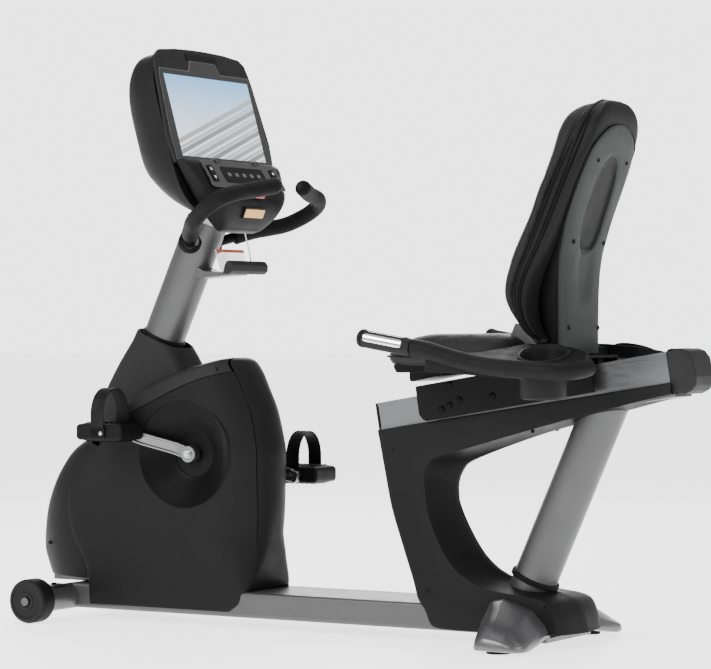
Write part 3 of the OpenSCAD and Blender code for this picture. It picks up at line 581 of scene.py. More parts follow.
def rounded(corners, radius, steps=5):
    """An outline with each corner turned on a radius. A corner may carry its own radius as a third number."""
    out = []
    n = len(corners)
    for i, corner in enumerate(corners):
        r = corner[2] if len(corner) > 2 else radius
        p = Vector(corner[:2])
        a, b = Vector(corners[i - 1][:2]) - p, Vector(corners[(i + 1) % n][:2]) - p
        if r <= 0 or a.length < 1e-6 or b.length < 1e-6:
            out.append(tuple(p))
            continue
        half = a.angle(b) / 2
        cut = min(r / max(math.tan(half), 0.05), 0.48 * a.length, 0.48 * b.length)
        start, end = p + a.normalized() * cut, p + b.normalized() * cut
        for k in range(steps + 1):
            t = k / steps
            out.append(tuple(start * (1 - t) ** 2 + p * (2 * t * (1 - t)) + end * t * t))
    return out


def join(name, pieces):
    """Applies each piece's modifiers and joins them into one object."""
    for piece in pieces:
        if piece.modifiers:
            applied(piece)
    with bpy.context.temp_override(active_object=pieces[0], selected_editable_objects=pieces,
                                   selected_objects=pieces, object=pieces[0]):
        bpy.ops.object.join()
    pieces[0].name = name
    return pieces[0]


def dress(material, *names):
    """Gives CAD nodes that keep their own shape a finished material."""
    for name in names:
        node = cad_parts[name]
        node.data.materials.clear()
        node.data.materials.append(material)


# ---------------------------------------------------------------- drive shroud

SIDE = 105.0
CRANK = Vector((-412, 0, 403))
DISH_RIM, DISH_HUB = 125.0, 54.0
DISH_TAIL, DISH_TAIL_REACH = -332, 126

# Height, end of the flat side, reach and depth of the round tail beyond it, and the seam's place in degrees
TAIL = [(37, -284, 4, 4, 0), (56, -262, 10, 8, 0), (84, -256, 14, 10, 0), (105, -266, 32, 30, 8),
        (160, -306, 82, 66, 22), (230, -335, 119, 98, 32), (310, -334, 126, 105, 36),
        (400, -332, 126, 105, 38), (457, -341, 126, 105, 37), (508, -355, 126, 104, 36),
        (560, -379, 126, 102, 35), (590, -393, 125, 100, 35), (602, -400, 125, 99, 35)]
# Height and place of the side cover's front edge, up the nose seam and along the trim band
FRONT = [(37, -682), (112, -690), (160, -712), (213, -737), (267, -748), (312, -742), (348, -723), (384, -695),
         (423, -652), (498, -561), (537, -478), (560, -425), (580, -372), (600, -299)]


def at_height(table, z):
    """A table's columns blended to one height."""
    t = np.array(table, float)
    return [float(np.interp(z, t[:, 0], t[:, i])) for i in range(1, t.shape[1])]


SMOOTH_TAIL = stations(TAIL, 227)


def tail_point(degrees, x0, reach, depth):
    """A point (x, y) on the round tail, from 90 degrees at its start to 0 at the mid-plane's end."""
    c, s = turn(degrees)
    return x0 + reach * c, SIDE - depth * (1 - s)


def evenly(points, count):
    """A line of straight steps, cut again into count points evenly spaced along it."""
    p = np.array(points, float)
    along = np.concatenate([[0], np.cumsum(np.linalg.norm(np.diff(p, axis=0), axis=1))])
    wanted = np.linspace(0, along[-1], count)
    return np.stack([np.interp(wanted, along, p[:, i]) for i in range(p.shape[1])], axis=1)


def side_cover(name, sign):
    """The flat side with its turned front edge and its round tail, and a round hole for the crank dish."""
    front = stations(FRONT, 80)
    rows = []
    for z in np.linspace(37.5, 599.5, 96):
        x0, reach, depth, seam = at_height(SMOOTH_TAIL, z)
        xf = at_height(front, z)[0]
        path = [(xf, SIDE)] if xf < x0 else []
        start = 90 if xf < x0 else math.degrees(math.acos(min((xf - x0) / reach, 1)))
        for a in np.linspace(start, max(seam, 0), 30):
            path.append(tail_point(a, x0, reach, depth))
        lip = [(xf - 5, path[0][1] - 9), (xf - 3.6, path[0][1] - 3.6), (xf - 1.4, path[0][1] - 0.8)]
        rows.append([(x, sign * y, z) for x, y in lip + [tuple(q) for q in evenly(path, 34)]])
    face = skin(name, rows, CHARCOAL, smooth=50)
    modify(face, "SOLIDIFY", thickness=3.0 * MM, offset=-1.0)
    cutter = lathe("cutter", [(0, -30), (DISH_RIM + 1, -30), (DISH_RIM + 1, 30), (0, 30)],
                   (CRANK.x, sign * SIDE, CRANK.z), (0, 1, 0), CHARCOAL, 96)
    shade(bored(face, cutter), 50)
    return bevel(face, 0.8, 2, 55)


def crank_dish(name, sign):
    """The dished recess that the crank turns in, with its raised rim."""
    profile = [(DISH_RIM + 4, 0.0), (DISH_RIM + 3, 0.6), (DISH_RIM + 0.5, 0.3), (DISH_RIM - 1.5, -1.6),
               (118, -6.0), (100, -17.5), (82, -29.5), (66, -40.5), (58, -45.6), (DISH_HUB, -47.0)]
    rings = []
    for i in range(120):
        a = 2 * math.pi * i / 120
        ring = []
        for r, h in profile:
            x = CRANK.x + r * math.cos(a)
            tail = SIDE * math.sqrt(1 - (max(x - DISH_TAIL, 0) / DISH_TAIL_REACH) ** 2)
            ring.append((x, sign * min(SIDE + h, tail + min(h, 0.6) * (h > 0)), CRANK.z + r * math.sin(a)))
        rings.append(ring)
    return skin(name, rings, CHARCOAL_DARK, wrap_rows=True, smooth=50)


# Seam (x, z) at the side, nose outline (x, z) on the mid-plane
NOSE = [(-684, 97, -858, 100), (-691, 112, -867, 122), (-713, 160, -879, 164), (-738, 213, -875, 210),
        (-749, 267, -864, 264), (-743, 312, -844, 315), (-724, 348, -818, 362), (-696, 384, -780, 408),
        (-662, 416, -728, 440)]
NOSE_HALF_WIDTH = 98.5


def front_cover():
    """The rounded nose between the two side covers."""
    rows = []
    for x, z, px, pz in blend(NOSE, 40):
        row = []
        for a in np.linspace(88, -88, 41):
            c, s = turn(a)
            row.append((x + (px - x) * c, NOSE_HALF_WIDTH * s, z + (pz - z) * c))
        rows.append(row)
    return thick(skin("front_cover", rows, CHARCOAL, smooth=50), 3.0)


DOME_START, DOME_RISE, DOME_SHIFT, DOME_POWER = 600, 31, 21, 0.52


def rear_cover():
    """The round tail between the two side covers, closed over at its top."""
    def row(z):
        x0, reach, depth, seam = at_height(SMOOTH_TAIL, z)
        half = [tail_point(a, x0, reach, depth) for a in np.linspace(max(seam - 1.0, 1), 0, 20)]
        return evenly(half + [(x, -y) for x, y in reversed(half)], 45)

    rows = [[(x, y, z) for x, y in row(z)] for z in np.linspace(86.5, DOME_START, 84)]
    last = row(DOME_START)
    edge = last[0][0]
    for t in (0.4, 1.5, 4, 8, 14, 22, 32, 44, 56, 67, 76, 83, 87, 89, 89.9):
        c, s = (part ** DOME_POWER for part in turn(t))
        rows.append([(edge - DOME_SHIFT * s + (x - edge) * c, y * c, DOME_START + DOME_RISE * s) for x, y in last])
    return thick(skin("rear_cover", rows, CHARCOAL, smooth=50), 3.0)


# Place along, lower edge (x, z) at the side, top outline (x, z) on the mid-plane
TRIM_BAND = [(0, -655, 425, -668, 474), (1, -610, 462, -612, 509), (2, -561, 500, -563, 545),
             (3, -479, 539, -483, 586), (4, -426, 562, -430, 604), (5, -374, 581, -374, 620),
             (6, -335, 592, -334, 630), (7, -300, 601, -321, 632)]


def top_trim():
    """The lighter band that closes the shroud's top, boxy at the front and rounder at its rear end."""
    rows = []
    for t, x, z, px, pz in stations(TRIM_BAND, 48):
        x0, reach, depth, _ = at_height(SMOOTH_TAIL, z)
        c = min(max((x - x0) / reach, 0), 1)
        wide = SIDE - 0.5 - depth * (1 - math.sqrt(1 - c * c))
        power = 0.42 + 0.1 * max(t - 5, 0) / 2
        row = []
        for a in np.linspace(90, -90, 57):
            c, s = (spow(part, power) for part in turn(a))
            c = abs(c)
            row.append((x + (px - x) * c, wide * s, z + (pz - z) * c))
        rows.append(row)
    return thick(skin("top_trim", rows, TRIM, smooth=50), 3.0)


def hub_cover(name, sign):
    """The black disc round the crank's axle."""
    edge = DISH_HUB - 0.5
    profile = [(13, 0), (13, 2.4), (16, 3.2), (30, 3.4), (44, 2.2), (edge, 0.6), (edge, -2), (13, -2)]
    return lathe(name, [(r, h * sign) for r, h in profile], (CRANK.x, sign * 56, CRANK.z), (0, 1, 0), BLACK, 64)


# Centre x, height, half length, half width, squareness and downward slope to the rear
BOOT = [(-552, 495, 186, 68, 5.0, -0.38), (-548, 526, 164, 68, 5.0, -0.28), (-545, 560, 140, 67, 4.6, -0.10),
        (-543, 608, 103, 65, 4.2, 0.06), (-535, 654, 72, 62, 3.6, 0.27), (-534, 676, 62, 59, 3.0, 0.40)]


def mast_boot():
    """The boot that carries the shroud up to the mast, cut on a slope at its top."""
    rings = [oval((x, 0, z), Vector((1, 0, -slope)), (0, 1, 0), a, b, square, 64)
             for x, z, a, b, square, slope in blend(BOOT, 22)]
    last = rings[-1]
    middle = middle_of(last)
    for share, drop in ((0.965, 1.5), (0.93, -1.0), (0.90, -8.0)):
        rings.append([middle.lerp(p, share) + Vector((0, 0, drop)) for p in last])
    return loft("mast_boot", rings, TRIM, caps=False, smooth=50)


def cover_screw(name, x, y, z, sign, radius=5.0):
    """A dark cap screw sunk in its counterbore."""
    profile = [(0.0, 0.2), (radius * 0.45, 0.2), (radius * 0.5, 1.2), (radius * 0.92, 1.2), (radius, 0.4),
               (radius, -2.0), (0.0, -2.0)]
    return lathe(name, [(r, h * sign) for r, h in profile], (x, y, z), (0, 1, 0), BLACK, 20)


def build_shroud():
    """All the covers of the drive, with the screws that hold them."""
    for tag, sign in SIDES:
        fit(side_cover(f"side_cover_skin_{tag}", sign), "frame", [f"side_cover_{tag}"])
        fit(crank_dish(f"crank_dish_{tag}", sign), "frame")
        fit(hub_cover(f"hub_disc_{tag}", sign), "frame", ["hub_covers"])
        for k, (x, z, y) in enumerate(((-330, 606, 89), (-255, 111, 96), (-816, 178, 86))):
            screw = cover_screw(f"cover_screw_{tag}_{k}", x, sign * y, z, sign)
            fit(screw, "frame", ["cover_screws"])
    fit(rear_cover(), "frame", ["rear_cover"])
    fit(front_cover(), "frame", ["front_cover"])
    fit(top_trim(), "frame", ["top_trim"])
    fit(mast_boot(), "frame", ["mast_base_cover"])


# ---------------------------------------------------------------- base, foot and wheels


def base_beam():
    """The rounded box beam with its inner posts, and the stabilizer's end plates."""
    beam = prism("beam", box(-745, 25, 540, 85), -103, 103, FRAME, 9, 4)
    mast_foot = prism("mast_foot", box(-836, 84.5, -700, 131), -45, 45, FRAME, 3)
    crank_post = prism("crank_post", [(-450, 84), (-374, 84), (-388, 400), (-436, 400)], -40, 0, FRAME, 3)
    leg_post = prism("leg_post", [(250, 84), (320, 84), (240, 250), (214, 460), (140, 460), (165, 270)], -30, 30,
                     FRAME, 4)
    fit(join("base_beam", [beam, mast_foot, crank_post, leg_post]), "frame", ["base_frame"])
    for tag, sign in SIDES:
        plate = prism(f"stabilizer_plate_{tag}", rounded(box(-768, 0, -732, 60), 6), 82.5, 85, ALLOY, 0.8, 2,
                      lambda u, v, w: (u, sign * (130 + w), v))
        bolt = lathe(f"plate_bolt_{tag}", [(0, 4), (5, 4), (6.5, 2.5), (6.5, 0), (0, 0)], (-750, sign * 160, 85),
                     (0, 0, 1), BLACK, 20)
        fit(join(f"stabilizer_plate_{tag}", [plate, bolt]), "frame")


# One ring of the foot casting for each distance from the mid-plane
FOOT_RINGS = [
    (98, [(385, 22), (395, 60), (418, 103), (445, 106), (515, 82), (545, 50), (556, 22)]),
    (120, [(387, 21), (397, 60), (420, 102), (446, 104), (516, 80), (546, 50), (558, 21)]),
    (175, [(408, 13), (418, 50), (444, 84), (464, 86), (519, 68), (557, 38), (564, 13)]),
    (235, [(432, 6), (440, 35), (465, 60), (482, 60), (520, 50), (564, 25), (566, 6)]),
    (262, [(446, 7), (452, 27), (470, 41), (487, 41), (520, 34), (552, 21), (554, 7)]),
    (271, [(456, 10), (460, 24), (474, 32), (487, 32), (516, 27), (540, 18), (541, 10)])]


def foot_wing(name, sign):
    """One sweeping end of the cast rear foot."""
    table = [(y, *[c for corner in rounded(ring, 12, 4) for c in corner]) for y, ring in FOOT_RINGS]
    rings = []
    for row in stations(table, 34):
        flat = row[1:].reshape(-1, 2)
        rings.append([(x, sign * row[0], z) for x, z in flat])
    return loft(name, rings, FOOT, smooth=50)


def wheel_centre(sign):
    return (-750, sign * 221, 52.5)


def wheel(name, sign):
    """Transport wheel: a grey moulded face in steps, and a dark tyre band."""
    centre = wheel_centre(sign)
    out = lambda pairs: [(r, h * sign) for r, h in pairs]
    steps = [(8, 0), (47, 0), (50.5, 3), (50.5, 45), (48, 49.5), (44, 51), (41, 50.4), (40, 48.6),
             (30, 48.2), (21, 48.6), (20, 50.4), (17, 51), (12, 50), (11, 38), (8, 38)]
    band = [(50, 3), (51.6, 4), (52.5, 7), (52.5, 41), (51.6, 45), (50, 46)]
    face = lathe("face", out(steps), centre, (0, 1, 0), WHEEL)
    tyre = lathe("tyre", out(band), centre, (0, 1, 0), RUBBER)
    return join(name, [face, tyre])


# ---------------------------------------------------------------- leg covers

# Place along, outer edge, crease and inner edge in (x, z), share of the front face, corner radius
LEG = [
    (0, 822, 587, 822, 562, 822, 556, 0, 3), (1, 700, 567, 700, 533, 699, 524, 0, 3),
    (2, 600, 551, 590, 506, 585, 494, 0, 3), (3, 480, 532, 478, 476, 490, 468, 0, 3),
    (4, 370, 514, 375, 447, 400, 438, 0, 3), (5, 270, 498, 300, 426, 330, 412, 0, 3),
    (6, 180, 484, 258, 414, 296, 396, 0, 3), (7, 110, 472, 232, 402, 281, 378, 0, 4),
    (8, 91, 468, 221, 384, 273, 360, 0.6, 8), (9, 95, 445, 218, 365, 270, 342, 1, 12),
    (10, 108, 386, 221, 335, 271, 318, 1, 12), (11, 131, 297, 229, 295, 279, 292, 1, 12),
    (12, 164, 217, 246, 252, 296, 257, 1, 12), (13, 201, 138, 274, 205, 318, 220, 1, 12),
    (14, 222, 92, 298, 176, 335, 197, 0.6, 10), (15, 240, 70, 322, 156, 352, 179, 0, 6),
    (16, 262, 34, 352, 139, 375, 161, 0, 3), (17, 300, 29, 382, 127, 395, 150, 0, 3),
    (18, 360, 28, 415, 121, 420, 142, 0, 3), (19, 420, 28, 455, 116, 465, 130, 0, 3),
    (20, 480, 29, 495, 111, 510, 119, 0, 3), (21, 530, 29, 527, 107, 541, 111, 0, 3),
    (22, 560, 30, 552, 97, 567, 99, 0, 3), (23, 568, 30, 566, 70, 584, 76, 0, 3),
    (24, 572, 29, 574, 32, 596, 30, 0, 3)]


def leg_width(z):
    """Half the width of the leg cover, which spreads towards the foot."""
    return 62 + 45 * min(max((470 - z) / 375, 0), 1) ** 2


def leg_cover(name, sign):
    """One half of the cover round the inner post: face, rounded front and the opening's hollowed edge."""
    rows = []
    for t, fx, fz, cx, cz, ix, iz, front, radius in stations(LEG, 169):
        outer, crease, inner = Vector((fx, 0, fz)), Vector((cx, 0, cz)), Vector((ix, 0, iz))
        inward = (crease - outer).normalized()
        w = leg_width(fz)
        row = []
        for share in (1.0, 0.66, 0.33):
            row.append((fx, -max((w - radius) * (1 - share * front), 0.5), fz))
        for a in range(0, 91, 15):
            c, s = turn(a)
            p = outer + inward * (radius * (1 - c))
            row.append((p.x, -(w - radius + radius * s), p.z))
        start = outer + inward * radius
        for share in (0.3, 0.6, 0.9, 1.0):
            p = start.lerp(crease, share)
            row.append((p.x, -leg_width(p.z), p.z))
        wide = leg_width(cz)
        convex = min(max(t - 20, 0) / 2, 1)
        power = 1.1 + 0.6 * min(max(t - 3, 0) / 2, 1)
        for v in (0.04, 0.12, 0.22, 0.34, 0.47, 0.6, 0.73, 0.86, 0.95, 1.0):
            p = crease.lerp(inner, v)
            depth = (1 - convex) * (1 - v) ** power + convex * (1 - v ** 2.2)
            row.append((p.x, -((wide - 6) * depth + 5), p.z))
        row.append((ix, -0.5, iz))
        rows.append([(x, -y * sign, z) for x, y, z in row])
    return thick(skin(name, rows, CHARCOAL, smooth=38), 3.0, 0.6)


def build_base():
    """Beam, foot, transport wheels and the covers round the inner post."""
    base_beam()
    for tag, sign in SIDES:
        fit(foot_wing(f"foot_wing_{tag}", sign), "frame", ["rear_foot"])
        fit(wheel(f"wheel_{tag}_moulding", sign), f"wheel_{tag}_body", [f"wheel_{tag}"])
        head = [(0, 54), (6, 54), (9, 52), (10.5, 49), (10.5, 40), (6, 40), (6, 2), (0, 2)]
        cap = lathe(f"wheel_bolt_{tag}", head, wheel_centre(sign), (0, sign, 0), BLACK, 40)
        fit(cap, "frame")
        fit(leg_cover(f"leg_cover_{tag}", sign), "frame", ["leg_covers"])
        for k, (x, z) in enumerate(((135, 426), (247, 112), (490, 475), (544, 92))):
            screw = cover_screw(f"leg_screw_{tag}_{k}", x, sign * (leg_width(z) - 0.4), z, sign, 4.5)
            fit(screw, "frame")
    bar = prism("foot_bar", box(400, 13, 550, 25), -112, 112, FOOT, 2)
    fit(bar, "frame", ["rear_foot"])


# ---------------------------------------------------------------- rail

RAIL_SLOPE = 9.6


def on_rail(x, y, z):
    """A point given along, across and above the rail's front upper edge."""
    c, s = turn(RAIL_SLOPE)
    return (84 + x * c - z * s, y, 531 + x * s + z * c)


def build_rail():
    """The black caps at the rail's ends and the rounded end cap."""
    front = prism("rail_front_cap", box(-7, -99, -0.2, 0), -45, 45, BLACK, 2, 3, on_rail)
    plate = prism("rail_end_plate", [(735.2, 4), (747, 5), (747, -94), (735.2, -90)], -50, 50, BLACK, 2, 3,
                  on_rail)
    outline = [(803, 656), (841, 660), (856, 655), (868, 640), (877, 600), (875, 581), (866, 569), (850, 561),
               (818, 564)]
    end = prism("rail_end_cap", rounded(outline, 8, 4), -51, 51, TRIM, 7, 5)
    for piece in (front, plate, end):
        fit(piece, "frame", ["rail_caps"])


# ---------------------------------------------------------------- cranks and pedals

REST, CRANK_LENGTH, PEDAL_MIDDLE = math.radians(18.4), 170, 177
CHANNEL = [(-15, 2), (-13, 0), (13, 0), (15, 2), (15, 15), (14, 16), (11, 16), (10, 15), (9, 11.5), (-9, 11.5),
           (-10, 15), (-11, 16), (-14, 16), (-15, 15)]


def crank_place(side, along, out, wide):
    """A point on a crank arm: distance along the arm, out from the mid-plane and across the arm."""
    return (CRANK.x + side * (along * math.cos(REST) + wide * math.sin(REST)), side * out,
            CRANK.z - side * (along * math.sin(REST) - wide * math.cos(REST)))


def pedal_centre(side):
    """The mid-plane's point on a pedal's spindle axis."""
    return Vector(crank_place(side, CRANK_LENGTH, 0, 0))


def crank_arm(name, side):
    """A channel-section arm that bends out from its hub to the pedal's boss."""
    path = spline([(14, 66), (40, 68), (60, 77), (100, 100), (120, 108), (150, 109), (184, 109)], 40)
    rings = [[crank_place(side, r, d + q, w) for w, q in CHANNEL] for r, d in path]
    for grow, share in ((5, 0.9), (9, 0.62)):
        rings.append([crank_place(side, 184 + grow, 109 + q, w * share) for w, q in CHANNEL])
    web = bevel(loft("web", rings, ALLOY, smooth=30), 0.7, 2, 30)
    hub = lathe("hub", [(10, 62), (19, 62), (21, 64), (21, 83), (19, 86), (12, 86), (11, 84), (10, 84)], CRANK,
                (0, side, 0), ALLOY, 48)
    centre = pedal_centre(side)
    boss = lathe("boss", [(7, 108.5), (15, 108.5), (16, 110), (16, 124), (14.5, 125.5), (7, 125.5)], centre,
                 (0, side, 0), ALLOY, 48)
    return join(name, [web, hub, boss])


def pedal(name, side):
    """The pedal's block, with a ribbed pad above and below."""
    c = pedal_centre(side)
    place = lambda u, v, w: (c.x + u, side * v, c.z + w)
    pieces = [prism("body", rounded(box(-65, -19, 65, 19), 12, 6), 130, 224, PEDAL, 5, 4, place)]
    for top in (1, -1):
        pieces.append(prism("pad", rounded(box(-54, 137, 54, 217), 14, 5), 17, 20.6, PEDAL, 1.5, 3,
                            lambda u, v, w: (c.x + u, side * w, c.z + top * v)))
        for k in range(7):
            x = -42 + 14 * k
            rib = [(x - 2.2, 20), (x + 2.2, 20), (x + 1.4, 23), (x - 1.4, 23)]
            pieces.append(prism("rib", rib, 143, 211, PEDAL, 0.5, 1,
                                lambda u, v, w: (c.x + u, side * v, c.z + top * w)))
    return join(name, pieces)


def pedal_trim(name, side):
    """The strap's buckle block with its bright bolt, and the spindle's dust cap."""
    c = pedal_centre(side)
    place = lambda u, v, w: (c.x + u, side * v, c.z + w)
    block = prism("block", rounded(box(-21, -14, 21, 12), 4), 223, 229, BLACK, 1.5, 3, place)
    ribs = [prism("grip", box(6 * k - 16, -10, 6 * k - 13, 8), 228.6, 230.2, BLACK, 0.5, 1, place)
            for k in range(3)]
    bolt = lathe("bolt", [(0, 4.2), (3, 4.2), (4.6, 3), (5, 0), (0, 0)], (c.x + 12, side * 229, c.z - 2),
                 (0, side, 0), STEEL, 24)
    return join(name, [block, bolt, *ribs])


def strap(name, side):
    """Moulded strap: a band arched over the shoe, thicker along both edges and ribbed across its top."""
    c = pedal_centre(side)
    path = [(50.5, 9)] + [(50.5 * turn(a)[0], 42 + 60 * turn(a)[1]) for a in range(0, 181, 6)] + [(-50.5, 9)]
    section = [(-18, 0), (-18, 1.6), (-16.6, 2.2), (-14.5, 1.8), (-13.5, 1.2), (13.5, 1.2), (14.5, 1.8),
               (16.6, 2.2), (18, 1.6), (18, 0), (17, -1), (-17, -1)]
    rings = []
    for k, (y, z) in enumerate(path):
        a, b = Vector(path[max(k - 1, 0)]), Vector(path[min(k + 1, len(path) - 1)])
        t = (b - a).normalized()
        n = Vector((t.y, -t.x))
        rings.append([(c.x + u, side * (PEDAL_MIDDLE + y + n.x * q), c.z + z + n.y * q) for u, q in section])
    pieces = [loft("band", rings, STRAP, smooth=35)]
    for a in range(45, 136, 10):
        q, s = turn(a)
        centre = Vector((c.x, side * (PEDAL_MIDDLE + 51.6 * q), c.z + 42 + 61.1 * s))
        pieces.append(lathe("rib", [(0, -11), (1.1, -11), (1.1, 11), (0, 11)], centre, (1, 0, 0), STRAP, 10))
    return join(name, pieces)


def build_cranks():
    """Crank arms, and the pedals with their buckles and straps."""
    for tag, side in SIDES:
        fit(crank_arm(f"crank_arm_{tag}", side), "crank", ["crank_arms"])
        fit(pedal(f"pedal_moulding_{tag}", side), f"pedal_{tag}_body", [f"pedal_{tag}"])
        fit(pedal_trim(f"pedal_buckle_{tag}", side), f"pedal_{tag}_body")
        fit(strap(f"strap_band_{tag}", side), f"pedal_{tag}_body", [f"toe_strap_{tag}"])


# ---------------------------------------------------------------- console

LEAN, KEY_LEAN = math.radians(16), math.radians(32.7)


def on_console(d, y, s):
    """A point given out towards the rider, across and up the console's own face."""
    return (-390.6 + d * math.cos(LEAN) - s * math.sin(LEAN), y,
            1201.4 + d * math.sin(LEAN) + s * math.cos(LEAN))


def on_keys(d, y, s):
    """A point given out, across and up the keypad's own face."""
    x0, _, z0 = on_console(41, 0, -155)
    return (x0 + d * math.cos(KEY_LEAN) - s * math.sin(KEY_LEAN), y,
            z0 + d * math.sin(KEY_LEAN) + s * math.cos(KEY_LEAN))


def panel(name, outline, low, high, material, edge=1.0, place=on_console, segments=3):
    """A flat piece drawn in (y, up) on the console, from one depth to another."""
    return prism(name, outline, low, high, material, edge, segments, lambda u, v, w: place(v, u, w))


def both(half):
    """A whole outline from its right half, drawn from the bottom up. A corner may carry its radius."""
    return half + [(-corner[0], *corner[1:]) for corner in reversed(half)]


# Depth, centre height, half height, half width
SHELL = [(-138, -15, 45, 105), (-131, -19, 105, 150), (-110, -6, 150, 178), (-77, -11, 186, 198),
         (-40, -28, 202, 208), (-13, -36, 207, 211)]
# Height, front depth, rear depth, half width
POD = [(-277, 6, -20, 84), (-268, 22, -22, 98), (-254, 36, -21, 118), (-236, 48, -20, 138), (-216, 54, -18, 156),
       (-200, 52.5, -16, 168), (-175, 45, -15, 182), (-150, 37.5, -14, 194), (-126, 30, -13, 203),
       (-112, 16, -12, 207)]


def console_back():
    """The deep shell behind the screen, with a rounded back."""
    def ring(depth, centre, tall, wide, square):
        flat = oval((0, 0, centre), (1, 0, 0), (0, 0, 1), wide, tall, square, 72)
        return [on_console(depth, p.x, p.z) for p in flat]

    _, centre, tall, wide = SHELL[0]
    rings = [ring(depth, centre, tall * share, wide * share, 3.4)
             for share, depth in ((0.3, -146), (0.7, -144), (0.9, -141.5))]
    rings += [ring(*row, 4.2) for row in blend(SHELL, 40)]
    return loft("console_back", rings, CHARCOAL, smooth=50)


def console_pod():
    """The pod under the screen that carries the keys."""
    rings = []
    for s, front, rear, wide in blend(POD, 48):
        ring = level_oval((front + rear) / 2, 0, (front - rear) / 2, wide, 5.0, 72)
        rings.append([on_console(p.x, p.y, s) for p in ring])
    bottom = rings[0]
    middle = middle_of(bottom)
    rings.insert(0, [middle.lerp(Vector(p), 0.86) + Vector((0, 0, -2.5)) for p in bottom])
    return loft("console_pod", rings, CHARCOAL, smooth=50)


def clipped(low, high, slope, half, top):
    """The part of a sloping band that lies inside the screen, cut edge by edge."""
    shape = [(-half * 2, low - slope * half * 2), (half * 2, low + slope * half * 2),
             (half * 2, high + slope * half * 2), (-half * 2, high - slope * half * 2)]
    for a, b, c in ((1, 0, half), (-1, 0, half), (0, 1, top), (0, -1, top)):
        out = []
        for i, p in enumerate(shape):
            q = shape[i - 1]
            dp, dq = c - (a * p[0] + b * p[1]), c - (a * q[0] + b * q[1])
            if dp * dq < 0:
                t = dq / (dq - dp)
                out.append((q[0] + (p[0] - q[0]) * t, q[1] + (p[1] - q[1]) * t))
            if dp >= 0:
                out.append(p)
        shape = out
    return shape


def lit(name, low, high):
    """A lit part of the screen, from one colour at its foot to another at its top."""
    n = Nodes(name)
    split = n.add("ShaderNodeSeparateXYZ")
    n.link(n.place, split.inputs["Vector"])
    mix = n.add("ShaderNodeMix", data_type="RGBA")
    n.link(n.spread(split.outputs["Z"], 0, 1, 1.13, 1.30), mix.inputs["Factor"])
    mix.inputs["A"].default_value = (*low, 1)
    mix.inputs["B"].default_value = (*high, 1)
    soft = n.add("ShaderNodeHueSaturation")
    n.link(mix.outputs["Result"], soft.inputs["Color"])
    n.link(n.spread(n.noise(0.03), 0.97, 1.03), soft.inputs["Value"])
    n.link(soft.outputs["Color"], n.shader.inputs["Base Color"])
    n.link(soft.outputs["Color"], n.shader.inputs["Emission Color"])
    n.put(Emission_Strength=0.55, Roughness=0.16)
    return n.material


SCREEN_HALF, SCREEN_TOP = 180, 101


def build_screen():
    """A plain picture of sky above grey steps."""
    sky = lit("screen_sky", (0.80, 0.86, 0.92), (0.16, 0.42, 0.72))
    tones = [lit(f"screen_step_{k}", (g, g, g * 1.03), (g * 1.2, g * 1.2, g * 1.25))
             for k, g in enumerate((0.30, 0.46, 0.20, 0.38))]
    pieces = [panel("sky", box(-SCREEN_HALF, -SCREEN_TOP, SCREEN_HALF, SCREEN_TOP), 0.4, 1.9, sky, 0)]
    for k in range(13):
        low = -172 + k * 13.5
        shape = clipped(low, low + (7.5 if k % 2 else 11.5), 0.34, SCREEN_HALF, SCREEN_TOP)
        if len(shape) > 2:
            pieces.append(panel("step", shape, 1.8, 2.1 + 0.05 * (k % 2), tones[k % 4], 0))
    return join("screen_picture", pieces)


